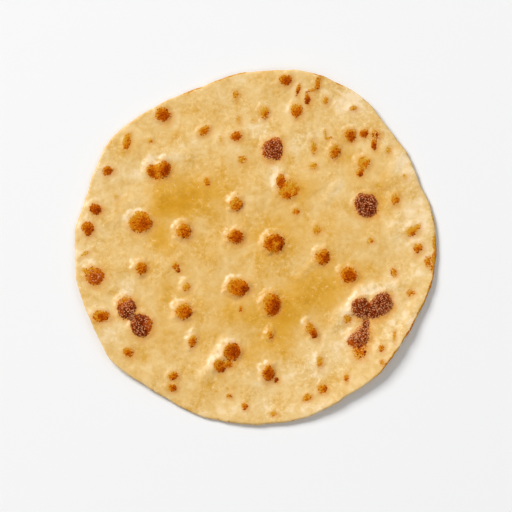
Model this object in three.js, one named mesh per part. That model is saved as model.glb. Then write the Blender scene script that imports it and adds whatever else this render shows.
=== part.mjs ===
// Chapati flatbread: one round of soft unleavened bread, puffed and browned on a griddle.
//
// Millimetres, +Z up. The bread lies on the plane z = 0 with its blistered face up, and its outline
// is centred on the Z axis. Bearings and turns are in degrees, anticlockwise from +X.

import * as THREE from 'three';

// ---- Driving dimensions -------------------------------------------------------------------------

const MEAN_RADIUS = 89.6;
const THICKNESS = 2.1;
const RIM_THINNING = 0.18; // share of the thickness that is rolled away towards the rim
const RIM_INSET = 1.2; // how far the rounded edge reaches in from the outline
const RAGGED_DEPTH = 0.3; // height of the fine unevenness along the outline

// The hand-rolled outline leaves a circle here: each lobe swells or flattens a stretch of the rim.
const OUTLINE_LOBES = [
  { bearing: 56, spread: 9, grow: 3.3 },
  { bearing: 72, spread: 10, grow: 3.3 },
  { bearing: 111, spread: 13, grow: -3.7 },
  { bearing: 127, spread: 6, grow: -1.2 },
  { bearing: 144, spread: 8, grow: 1.2 },
  { bearing: 163, spread: 8, grow: -1.1 },
  { bearing: 175, spread: 7, grow: 0.8 },
  { bearing: -166, spread: 13, grow: 1.3 },
  { bearing: -142, spread: 9, grow: 2.6 },
  { bearing: -122, spread: 8, grow: -1 },
  { bearing: -80, spread: 22, grow: 0.4 },
  { bearing: -59, spread: 6, grow: -1.3 },
  { bearing: -30, spread: 14, grow: -1.6 },
  { bearing: -5, spread: 12, grow: 0.9 },
  { bearing: 11, spread: 6, grow: 0.6 },
  { bearing: 21, spread: 6, grow: -1.3 },
];

const RAGGED_WAVES = [
  { count: 23, share: 0.45, phase: 40 },
  { count: 41, share: 0.35, phase: 170 },
  { count: 67, share: 0.2, phase: 290 },
];

// The middle lies flat. Round it the bread rests on low blisters of its underside, and the rim stands
// clear and curls up softly where the bread dried as it cooled.
const LIFT_START = 0.6; // share of the radius where the curl begins
const RIM_CLEARANCE = 0.4; // how far the rim stands clear where it doesn't curl
const LOW_BLISTER_REACH = 11;
const LOW_BLISTERS = [
  { bearing: 15, radius: 71 },
  { bearing: 78, radius: 69 },
  { bearing: 140, radius: 72 },
  { bearing: -160, radius: 68 },
  { bearing: -98, radius: 71 },
  { bearing: -38, radius: 70 },
];
const RIM_LIFTS = [
  { bearing: -42, spread: 30, rise: 3.4 },
  { bearing: 68, spread: 24, rise: 2.2 },
  { bearing: -152, spread: 27, rise: 2.4 },
  { bearing: 148, spread: 15, rise: 1 },
];

// Slow swells of the upper face between the blisters.
const SWELLS = [
  { wavelength: 38, bearing: 20, depth: 0.17, phase: 35 },
  { wavelength: 29, bearing: 98, depth: 0.15, phase: 120 },
  { wavelength: 22, bearing: 152, depth: 0.1, phase: 250 },
];

// Blisters: middle and half-widths of the browned place, its turn, and how far the blister stands up. The
// dough puffed up a little more on one side of each browned place.
const PUFF = [-0.7, 0.6];
const CREST_ROUNDING = 1.4; // how far inside the browned place the flank begins
const FLANK = 3.2; // how far outside it the flank ends
const BLISTERS = [
  { at: [-46, 67.1], half: [3.3, 3.3], turn: 0, rise: 0.5 },
  { at: [-25.6, 59.3], half: [3, 1.9], turn: 40, rise: 0.4 },
  { at: [-74, 38.6], half: [2.5, 2], turn: 0, rise: 0.4 },
  { at: [-52.7, 38.4], half: [1.9, 3], turn: 0, rise: 0.8 },
  { at: [-45.8, 39.2], half: [2.8, 4], turn: 0, rise: 0.9 },
  { at: [-80, 19.1], half: [2.6, 2.7], turn: 0, rise: 0.4 },
  { at: [-84, 9.1], half: [2.8, 3.3], turn: 0, rise: 0.4 },
  { at: [-57.7, 12.2], half: [5.7, 4.6], turn: 0, rise: 0.7 },
  { at: [4.4, 68.3], half: [2.2, 2.6], turn: 0, rise: 0.5 },
  { at: [15, 84.6], half: [3, 2.5], turn: 0, rise: 0.5 },
  { at: [20.6, 69.1], half: [2.6, 3.1], turn: 0, rise: 0.5 },
  { at: [8.2, 49.8], half: [4.6, 5.6], turn: -18, rise: 0.5 },
  { at: [39.9, 48.4], half: [2.4, 3.7], turn: -12, rise: 0.6 },
  { at: [47.6, 56.6], half: [2.8, 3], turn: 0, rise: 0.5 },
  { at: [54.2, 42.6], half: [3, 3], turn: 0, rise: 0.5 },
  { at: [-9.6, 21.6], half: [2.8, 3.1], turn: 0, rise: 1.2 },
  { at: [-35.7, 7.9], half: [3.6, 3.7], turn: 0, rise: 1.2 },
  { at: [-9.8, 5], half: [3.8, 3.4], turn: 0, rise: 1.2 },
  { at: [16.2, 29], half: [4.6, 4.6], turn: 0, rise: 0.6 },
  { at: [12.3, 33.8], half: [1.9, 3], turn: -8, rise: 0.4 },
  { at: [9.2, 1.6], half: [4.8, 4.7], turn: 0, rise: 1.3 },
  { at: [33.4, -5.3], half: [3.2, 3.5], turn: 0, rise: 0.9 },
  { at: [55.2, 21.1], half: [5.2, 5.4], turn: 0, rise: 0.5 },
  { at: [69.6, 24.1], half: [2, 2.8], turn: -15, rise: 0.4 },
  { at: [78.2, 8.1], half: [3.2, 2.3], turn: 30, rise: 0.4 },
  { at: [-80.4, -15], half: [4.5, 4.3], turn: 0, rise: 0.4 },
  { at: [-57.3, -10.9], half: [2.8, 2.9], turn: 0, rise: 1 },
  { at: [-64.4, -30.8], half: [4.3, 5], turn: 0, rise: 0.9 },
  { at: [-56.9, -40], half: [5, 5.6], turn: 12, rise: 0.6 },
  { at: [-77, -35.4], half: [4, 2.8], turn: 0, rise: 0.4 },
  { at: [-34.4, -20.4], half: [1.8, 2.2], turn: 0, rise: 0.6 },
  { at: [-35.9, -32.7], half: [3.9, 3.8], turn: 0, rise: 1.2 },
  { at: [-8.8, -20.8], half: [5.2, 4.3], turn: 0, rise: 1.2 },
  { at: [-31.3, -47.9], half: [1.8, 3], turn: -20, rise: 0.9 },
  { at: [-11.6, -53.4], half: [4, 4], turn: 0, rise: 0.9 },
  { at: [-18.1, -60.3], half: [2.8, 3], turn: 0, rise: 0.8 },
  { at: [-41, -65.4], half: [2.2, 2.1], turn: 0, rise: 0.5 },
  { at: [-41.5, -71.4], half: [2, 1.8], turn: 0, rise: 0.4 },
  { at: [46.7, -14.5], half: [4, 3.7], turn: 0, rise: 0.8 },
  { at: [7.8, -29.2], half: [4.1, 5.2], turn: 0, rise: 1.1 },
  { at: [27.9, -42.4], half: [2.1, 3.9], turn: 33, rise: 1 },
  { at: [7.5, -44.4], half: [1.6, 2.1], turn: 0, rise: 0.8 },
  { at: [52.5, -31.2], half: [4.2, 4.9], turn: 0, rise: 0.9 },
  { at: [63, -29.3], half: [4.8, 5.9], turn: -32, rise: 0.8 },
  { at: [51.6, -46.4], half: [4.8, 3.5], turn: 12, rise: 0.7 },
  { at: [6.5, -64.2], half: [2.9, 3.8], turn: -8, rise: 1 },
];

// Soft folds of the upper face: a ridge from one point to another that fades out sideways.
const RIDGES = [
  { from: [39, -39], to: [55, -22], half: 6, rise: 0.7 },
  { from: [60, -20], to: [71, -19], half: 5, rise: 0.5 },
  { from: [-26, -66], to: [-15, -49], half: 5.5, rise: 0.6 },
  { from: [21, -16], to: [28, -9], half: 3.4, rise: 0.35 },
  { from: [41, 33], to: [35, 24], half: 3.6, rise: 0.3 },
  { from: [66, 32], to: [73, 48], half: 6, rise: 0.45 },
  { from: [70, 13], to: [70, 7], half: 5, rise: 0.4 },
  { from: [82, -26], to: [74, -42], half: 5, rise: 0.5 },
  { from: [-52, 48], to: [-33, 46], half: 5.5, rise: 0.35 },
  { from: [-70, 14], to: [-62, 24], half: 5.5, rise: 0.4 },
];

// ---- Mesh fineness ------------------------------------------------------------------------------

const COARSE_RINGS = 11;
const RIM_EDGE = 2.3; // longest edge along the outline
const RIM_BANDS = 3; // bands of faces round the rounded edge
const FINEST_EDGE = 2.5; // longest edge on a blister
const WIDEST_EDGE = 6.5; // longest edge on the upper face away from them
const EDGE_GROWTH = 0.8; // how fast edges may lengthen with distance from a blister
const UNDERSIDE_EDGE = 12;

// ---- Shape of the bread -------------------------------------------------------------------------

const degreesToRadians = THREE.MathUtils.degToRad;
const { smoothstep } = THREE.MathUtils;

function bearingOf(x, y) {
  return THREE.MathUtils.radToDeg(Math.atan2(y, x));
}

// A smooth hump round a bearing: 1 at its middle, fading over its spread.
function hump(bearing, middle, spread) {
  const away = THREE.MathUtils.euclideanModulo(bearing - middle + 180, 360) - 180;
  return Math.exp(-((away / spread) ** 2));
}

function sum(items, value) {
  return items.reduce((total, item) => total + value(item), 0);
}

function rimRadius(bearing) {
  const lobes = sum(OUTLINE_LOBES, (lobe) => lobe.grow * hump(bearing, lobe.bearing, lobe.spread));
  const ragged = sum(RAGGED_WAVES, (wave) => {
    return wave.share * Math.sin(degreesToRadians(wave.count * bearing + wave.phase));
  });
  return MEAN_RADIUS + lobes + RAGGED_DEPTH * ragged;
}

function shareOfRadius(x, y) {
  return Math.hypot(x, y) / rimRadius(bearingOf(x, y));
}

function crownOf(lowBlister) {
  const heading = degreesToRadians(lowBlister.bearing);
  return { x: lowBlister.radius * Math.cos(heading), y: lowBlister.radius * Math.sin(heading) };
}

function curlHeight(x, y) {
  const curl = Math.max(0, (shareOfRadius(x, y) - LIFT_START) / (1 - LIFT_START)) ** 2;
  const bearing = bearingOf(x, y);
  const lifts = sum(RIM_LIFTS, (lift) => lift.rise * hump(bearing, lift.bearing, lift.spread));
  return curl * (RIM_CLEARANCE + lifts);
}

// A low blister reaches down to the table at its crown.
function undersideHeight(x, y) {
  const distances = LOW_BLISTERS.map((lowBlister) => {
    const crown = crownOf(lowBlister);
    return Math.hypot(x - crown.x, y - crown.y);
  });
  return curlHeight(x, y) * smoothstep(Math.min(...distances), 0, LOW_BLISTER_REACH);
}

// Distance from the edge of a blister's crest: negative on the crest, positive outside it.
function distanceFromCrest(blister, x, y) {
  const turn = degreesToRadians(blister.turn);
  const [halfX, halfY] = blister.half;
  const dx = x - blister.at[0] - PUFF[0];
  const dy = y - blister.at[1] - PUFF[1];
  const across = (dx * Math.cos(turn) + dy * Math.sin(turn)) / halfX;
  const along = (dy * Math.cos(turn) - dx * Math.sin(turn)) / halfY;
  return (Math.hypot(across, along) - 1) * Math.sqrt(halfX * halfY);
}

// Blisters that meet keep the height of the higher one, with a soft valley between them.
function blisterHeight(x, y) {
  const cubes = sum(BLISTERS, (blister) => {
    const distance = distanceFromCrest(blister, x, y);
    return (blister.rise * (1 - smoothstep(distance, -CREST_ROUNDING, FLANK))) ** 3;
  });
  return Math.cbrt(cubes);
}

function distanceFromRidge(ridge, x, y) {
  const from = new THREE.Vector3(...ridge.from, 0);
  const to = new THREE.Vector3(...ridge.to, 0);
  const place = new THREE.Vector3(x, y, 0);
  return new THREE.Line3(from, to).closestPointToPoint(place, true, new THREE.Vector3()).distanceTo(place);
}

function ridgeHeight(x, y) {
  return sum(RIDGES, (ridge) => ridge.rise * (1 - smoothstep(distanceFromRidge(ridge, x, y), 0, ridge.half)));
}

function swellHeight(x, y) {
  return sum(SWELLS, (swell) => {
    const heading = degreesToRadians(swell.bearing);
    const travel = x * Math.cos(heading) + y * Math.sin(heading);
    return swell.depth * Math.sin((2 * Math.PI * travel) / swell.wavelength + degreesToRadians(swell.phase));
  });
}

function topHeight(x, y) {
  const thickness = THICKNESS * (1 - RIM_THINNING * shareOfRadius(x, y) ** 4);
  return curlHeight(x, y) + thickness + swellHeight(x, y) + blisterHeight(x, y) + ridgeHeight(x, y);
}

// ---- Discs of triangles -------------------------------------------------------------------------
// A disc is drawn on a circle of radius 1, as points and triangles, and is then laid on the bread.

function coarseDisc() {
  const points = [{ u: 0, v: 0, onRim: false }];
  const triangles = [];
  const pointOn = (ring, step) => {
    const firstOfRing = 3 * ring * (ring - 1) + 1;
    return ring === 0 ? 0 : firstOfRing + (step % (6 * ring));
  };
  for (let ring = 1; ring <= COARSE_RINGS; ring += 1) {
    for (let step = 0; step < 6 * ring; step += 1) {
      const angle = (2 * Math.PI * step) / (6 * ring);
      const reach = ring / COARSE_RINGS;
      const onRim = ring === COARSE_RINGS;
      points.push({ u: reach * Math.cos(angle), v: reach * Math.sin(angle), onRim });
    }
    for (let sixth = 0; sixth < 6; sixth += 1) {
      for (let step = 0; step < ring; step += 1) {
        const outer = sixth * ring + step;
        const inner = sixth * (ring - 1) + step;
        triangles.push([pointOn(ring - 1, inner), pointOn(ring, outer), pointOn(ring, outer + 1)]);
        if (step < ring - 1) {
          triangles.push([pointOn(ring - 1, inner), pointOn(ring, outer + 1), pointOn(ring - 1, inner + 1)]);
        }
      }
    }
  }
  return { points, triangles };
}

// Middle of an edge. On the rim it is pushed out to the outline again.
function middleOf(a, b) {
  const middle = { u: (a.u + b.u) / 2, v: (a.v + b.v) / 2, onRim: a.onRim && b.onRim };
  if (middle.onRim) {
    const reach = Math.hypot(middle.u, middle.v);
    middle.u /= reach;
    middle.v /= reach;
  }
  return middle;
}

// Where a disc point lies on the bread, inside the rounded edge.
function placeOf(point) {
  const scale = rimRadius(bearingOf(point.u, point.v)) - RIM_INSET;
  return { x: point.u * scale, y: point.v * scale };
}

// Cuts a triangle through the middles that its edges have, if any.
function cutTriangle([a, b, c], [middleAB, middleBC, middleCA]) {
  if (middleAB && middleBC && middleCA) {
    const corners = [[a, middleAB, middleCA], [middleAB, b, middleBC], [middleCA, middleBC, c]];
    return [...corners, [middleAB, middleBC, middleCA]];
  }
  if (middleAB && middleBC) {
    return [[a, middleAB, c], [middleAB, middleBC, c], [middleAB, b, middleBC]];
  }
  if (middleAB && !middleCA) {
    return [[a, middleAB, c], [middleAB, b, c]];
  }
  if (middleBC || middleCA) {
    return cutTriangle([b, c, a], [middleBC, middleCA, middleAB]);
  }
  return [[a, b, c]];
}

// Halves every edge that is longer than its place allows, until none is.
function refineDisc(disc, longestEdgeAt) {
  const { points } = disc;
  let { triangles } = disc;
  let middles = new Map();
  const keyOf = (a, b) => (a < b ? `${a} ${b}` : `${b} ${a}`);
  const isTooLong = (a, b) => {
    const start = placeOf(points[a]);
    const end = placeOf(points[b]);
    const length = Math.hypot(end.x - start.x, end.y - start.y);
    const onRim = points[a].onRim && points[b].onRim;
    const allowed = onRim ? RIM_EDGE : longestEdgeAt((start.x + end.x) / 2, (start.y + end.y) / 2);
    return length > allowed;
  };
  do {
    middles = new Map();
    for (const [a, b, c] of triangles) {
      for (const [start, end] of [[a, b], [b, c], [c, a]]) {
        if (!middles.has(keyOf(start, end)) && isTooLong(start, end)) {
          points.push(middleOf(points[start], points[end]));
          middles.set(keyOf(start, end), points.length - 1);
        }
      }
    }
    const cut = [];
    for (const [a, b, c] of triangles) {
      const onEdges = [middles.get(keyOf(a, b)), middles.get(keyOf(b, c)), middles.get(keyOf(c, a))];
      cut.push(...cutTriangle([a, b, c], onEdges));
    }
    triangles = cut;
  } while (middles.size > 0);
  return { points, triangles };
}

function longestUpperEdge(x, y) {
  const nearest = Math.min(...BLISTERS.map((blister) => distanceFromCrest(blister, x, y)));
  const allowed = FINEST_EDGE + EDGE_GROWTH * Math.max(0, nearest - FLANK / 2);
  return Math.min(allowed, WIDEST_EDGE);
}

// ---- The solid ----------------------------------------------------------------------------------

function rimPointsInOrder(disc) {
  const indices = disc.points.map((point, index) => index).filter((index) => disc.points[index].onRim);
  const angleOf = (index) => Math.atan2(disc.points[index].v, disc.points[index].u);
  return indices.sort((a, b) => angleOf(a) - angleOf(b));
}

// A place on the rounded edge, from share 0 at the upper face to share 1 at the underside.
function edgePlace(bearing, share) {
  const radius = rimRadius(bearing) - RIM_INSET * (1 - Math.sin(Math.PI * share));
  const x = radius * Math.cos(degreesToRadians(bearing));
  const y = radius * Math.sin(degreesToRadians(bearing));
  const bottom = undersideHeight(x, y);
  const z = bottom + ((topHeight(x, y) - bottom) * (1 + Math.cos(Math.PI * share))) / 2;
  return [x, y, z];
}

function chapatiGeometry() {
  const top = refineDisc(coarseDisc(), longestUpperEdge);
  const underside = refineDisc(coarseDisc(), () => UNDERSIDE_EDGE);
  const positions = [];
  const triangles = [...top.triangles];
  for (const point of top.points) {
    const { x, y } = placeOf(point);
    positions.push([x, y, topHeight(x, y)]);
  }

  const firstUnderside = positions.length;
  const undersidePlaces = underside.points.map(placeOf);
  for (const lowBlister of LOW_BLISTERS) {
    const crown = crownOf(lowBlister);
    const distanceOf = (place) => Math.hypot(place.x - crown.x, place.y - crown.y);
    const nearest = undersidePlaces.reduce((a, b) => (distanceOf(a) < distanceOf(b) ? a : b));
    Object.assign(nearest, crown);
  }
  for (const { x, y } of undersidePlaces) {
    positions.push([x, y, undersideHeight(x, y)]);
  }
  for (const [a, b, c] of underside.triangles) {
    triangles.push([a + firstUnderside, c + firstUnderside, b + firstUnderside]);
  }

  const topRim = rimPointsInOrder(top);
  let upperRing = topRim;
  for (let band = 1; band <= RIM_BANDS; band += 1) {
    let lowerRing = rimPointsInOrder(underside).map((index) => index + firstUnderside);
    if (band < RIM_BANDS) {
      lowerRing = topRim.map((index) => {
        const { u, v } = top.points[index];
        return positions.push(edgePlace(bearingOf(u, v), band / RIM_BANDS)) - 1;
      });
    }
    upperRing.forEach((upper, step) => {
      const next = (step + 1) % upperRing.length;
      triangles.push([upper, lowerRing[step], lowerRing[next]]);
      triangles.push([upper, lowerRing[next], upperRing[next]]);
    });
    upperRing = lowerRing;
  }

  const geometry = new THREE.BufferGeometry();
  geometry.setAttribute('position', new THREE.Float32BufferAttribute(positions.flat(), 3));
  geometry.setIndex(triangles.flat());
  geometry.computeBoundingBox();
  const middle = geometry.boundingBox.getCenter(new THREE.Vector3());
  geometry.translate(-middle.x, -middle.y, -geometry.boundingBox.min.z);
  geometry.computeVertexNormals();
  return geometry;
}

const crust = new THREE.MeshStandardMaterial({ color: 0xebc788, roughness: 0.72, metalness: 0 });

const chapati = new THREE.Mesh(chapatiGeometry(), crust);
chapati.name = 'chapati';

const bread = new THREE.Group();
bread.name = 'chapati_flatbread';
bread.add(chapati);

export default bread;
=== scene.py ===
"""Chapati flatbread: the looks of one griddle-browned round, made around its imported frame.

Lengths in the tables and in the values beside them are millimetres, and bearings are degrees,
anticlockwise from +X. The bread lies on the plane z = 0 with its blistered face up.
"""

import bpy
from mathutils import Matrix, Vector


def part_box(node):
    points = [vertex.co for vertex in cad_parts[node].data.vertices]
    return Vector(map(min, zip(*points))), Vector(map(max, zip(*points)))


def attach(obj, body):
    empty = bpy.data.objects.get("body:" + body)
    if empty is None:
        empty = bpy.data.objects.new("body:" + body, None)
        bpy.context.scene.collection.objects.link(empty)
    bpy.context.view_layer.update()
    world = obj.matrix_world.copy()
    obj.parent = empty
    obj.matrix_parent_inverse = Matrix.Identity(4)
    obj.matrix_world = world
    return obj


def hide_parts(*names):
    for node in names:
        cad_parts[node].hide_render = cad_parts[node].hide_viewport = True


bl_info = {
    "name": "Chapati Flatbread",
    "version": (1, 0, 0),
    "blender": (4, 5, 0),
    "location": "View3D > Sidebar > Chapati",
    "description": "Bakes a chapati with browned blisters, charred crumbs and bran flecks, on a plain stage",
    "category": "Object",
}

import math
from collections import namedtuple

import bpy
import numpy as np
from bpy.props import FloatProperty, FloatVectorProperty, IntProperty, PointerProperty
from mathutils import Vector

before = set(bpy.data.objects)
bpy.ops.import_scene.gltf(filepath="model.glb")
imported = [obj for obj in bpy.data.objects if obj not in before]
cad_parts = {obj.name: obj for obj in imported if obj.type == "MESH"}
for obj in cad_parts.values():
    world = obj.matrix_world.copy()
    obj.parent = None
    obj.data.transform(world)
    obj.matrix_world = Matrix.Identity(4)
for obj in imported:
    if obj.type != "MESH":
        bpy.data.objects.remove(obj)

MM = 0.001
NODE = "chapati"
BODY = "root"
CAD_LOW, CAD_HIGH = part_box(NODE)

# Millimetres that keep a division by a distance from failing.
TINY = 0.01


# ---- Shape of the bread ---------------------------------------------------------------------------

# The hand-rolled outline leaves a circle here: bearing, spread, growth.
OUTLINE_LOBES = (
    (56, 9, 3.3),
    (72, 10, 3.3),
    (111, 13, -3.7),
    (127, 6, -1.2),
    (144, 8, 1.2),
    (163, 8, -1.1),
    (175, 7, 0.8),
    (-166, 13, 1.3),
    (-142, 9, 2.6),
    (-122, 8, -1),
    (-80, 22, 0.4),
    (-59, 6, -1.3),
    (-30, 14, -1.6),
    (-5, 12, 0.9),
    (11, 6, 0.6),
    (21, 6, -1.3),
)

# Fine unevenness along the outline: waves round the rim, share of the depth, phase.
RAGGED_WAVES = (
    (23, 0.45, 40),
    (41, 0.35, 170),
    (67, 0.2, 290),
)
RAGGED_DEPTH = 0.3

# How deep the small crumbles of the edge are, and the share of the radius where they begin.
CRUMBLED_DEPTH = 0.22
CRUMBLE_START = 0.9

# The share of its thickness that the dough loses towards the rim, and the width of the rounded edge.
RIM_THINNING = 0.18
RIM_INSET = 1.2

# The middle lies flat as far as this share of the radius, and from there the rim stands clear.
LIFT_START = 0.6
RIM_CLEARANCE = 0.4

# Low blisters under the bread, which it rests on round its middle: bearing, distance from the middle.
LOW_BLISTER_REACH = 11
LOW_BLISTERS = (
    (15, 71),
    (78, 69),
    (140, 72),
    (-160, 68),
    (-98, 71),
    (-38, 70),
)

# Where the rim curls up: bearing, spread, rise.
RIM_LIFTS = (
    (-42, 30, 3.4),
    (68, 24, 2.2),
    (-152, 27, 2.4),
    (148, 15, 1),
)

# Slow swells of the upper face: wavelength, bearing, depth, phase.
SWELLS = (
    (38, 20, 0.17, 35),
    (29, 98, 0.15, 120),
    (22, 152, 0.1, 250),
)

# Soft folds of the upper face: from x, from y, to x, to y, half-width, rise.
FOLDS = (
    (39, -39, 55, -22, 6, 0.7),
    (60, -20, 71, -19, 5, 0.5),
    (-26, -66, -15, -49, 5.5, 0.6),
    (21, -16, 28, -9, 3.4, 0.35),
    (41, 33, 35, 24, 3.6, 0.3),
    (66, 32, 73, 48, 6, 0.45),
    (70, 13, 70, 7, 5, 0.4),
    (82, -26, 74, -42, 5, 0.5),
    (-52, 48, -33, 46, 5.5, 0.35),
    (-70, 14, -62, 24, 5.5, 0.4),
)

# How far inside a spot's edge its blister's flank begins, and how far outside it ends. The dough puffed
# up more on one side of each spot.
CREST_ROUNDING = 1.2
FLANK = 3.2
PUFF_X = -0.7
PUFF_Y = 0.6

# The painted highlight on the shoulder of a blister, where it faces the key light, lies this far from its
# spot, on that side of it, and is broken up.
SHOULDER_X = -1.1
SHOULDER_Y = 1.3
LIT_SHOULDER_BEARING = 128
SHOULDER_FADE = (0.35, 0.95)
SHOULDER_SHARPNESS = 1.5
SHOULDER_LEAST = 0.12
SHOULDER_BREAKING = (-0.35, 0.4)

# How brown a spot is at its middle, and how much of it is browned.
BAKES = {
    "olive": (0.16, 0.8),
    "faint": (0.26, 0.85),
    "gold": (0.38, 0.95),
    "orange": (0.52, 1.0),
    "tan": (0.62, 1.0),
    "brown": (0.74, 1.0),
    "deep": (0.83, 1.0),
    "dark": (0.93, 1.0),
    "grainy": (0.8, 0.95),
    "char": (1.0, 1.0),
    "sooty": (0.94, 0.78),
    "speckled": (0.57, 0.66),
    "dusted": (0.42, 0.62),
}

Spot = namedtuple("Spot", "x y half_x half_y turn bake rise", defaults=(None, 0))

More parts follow.
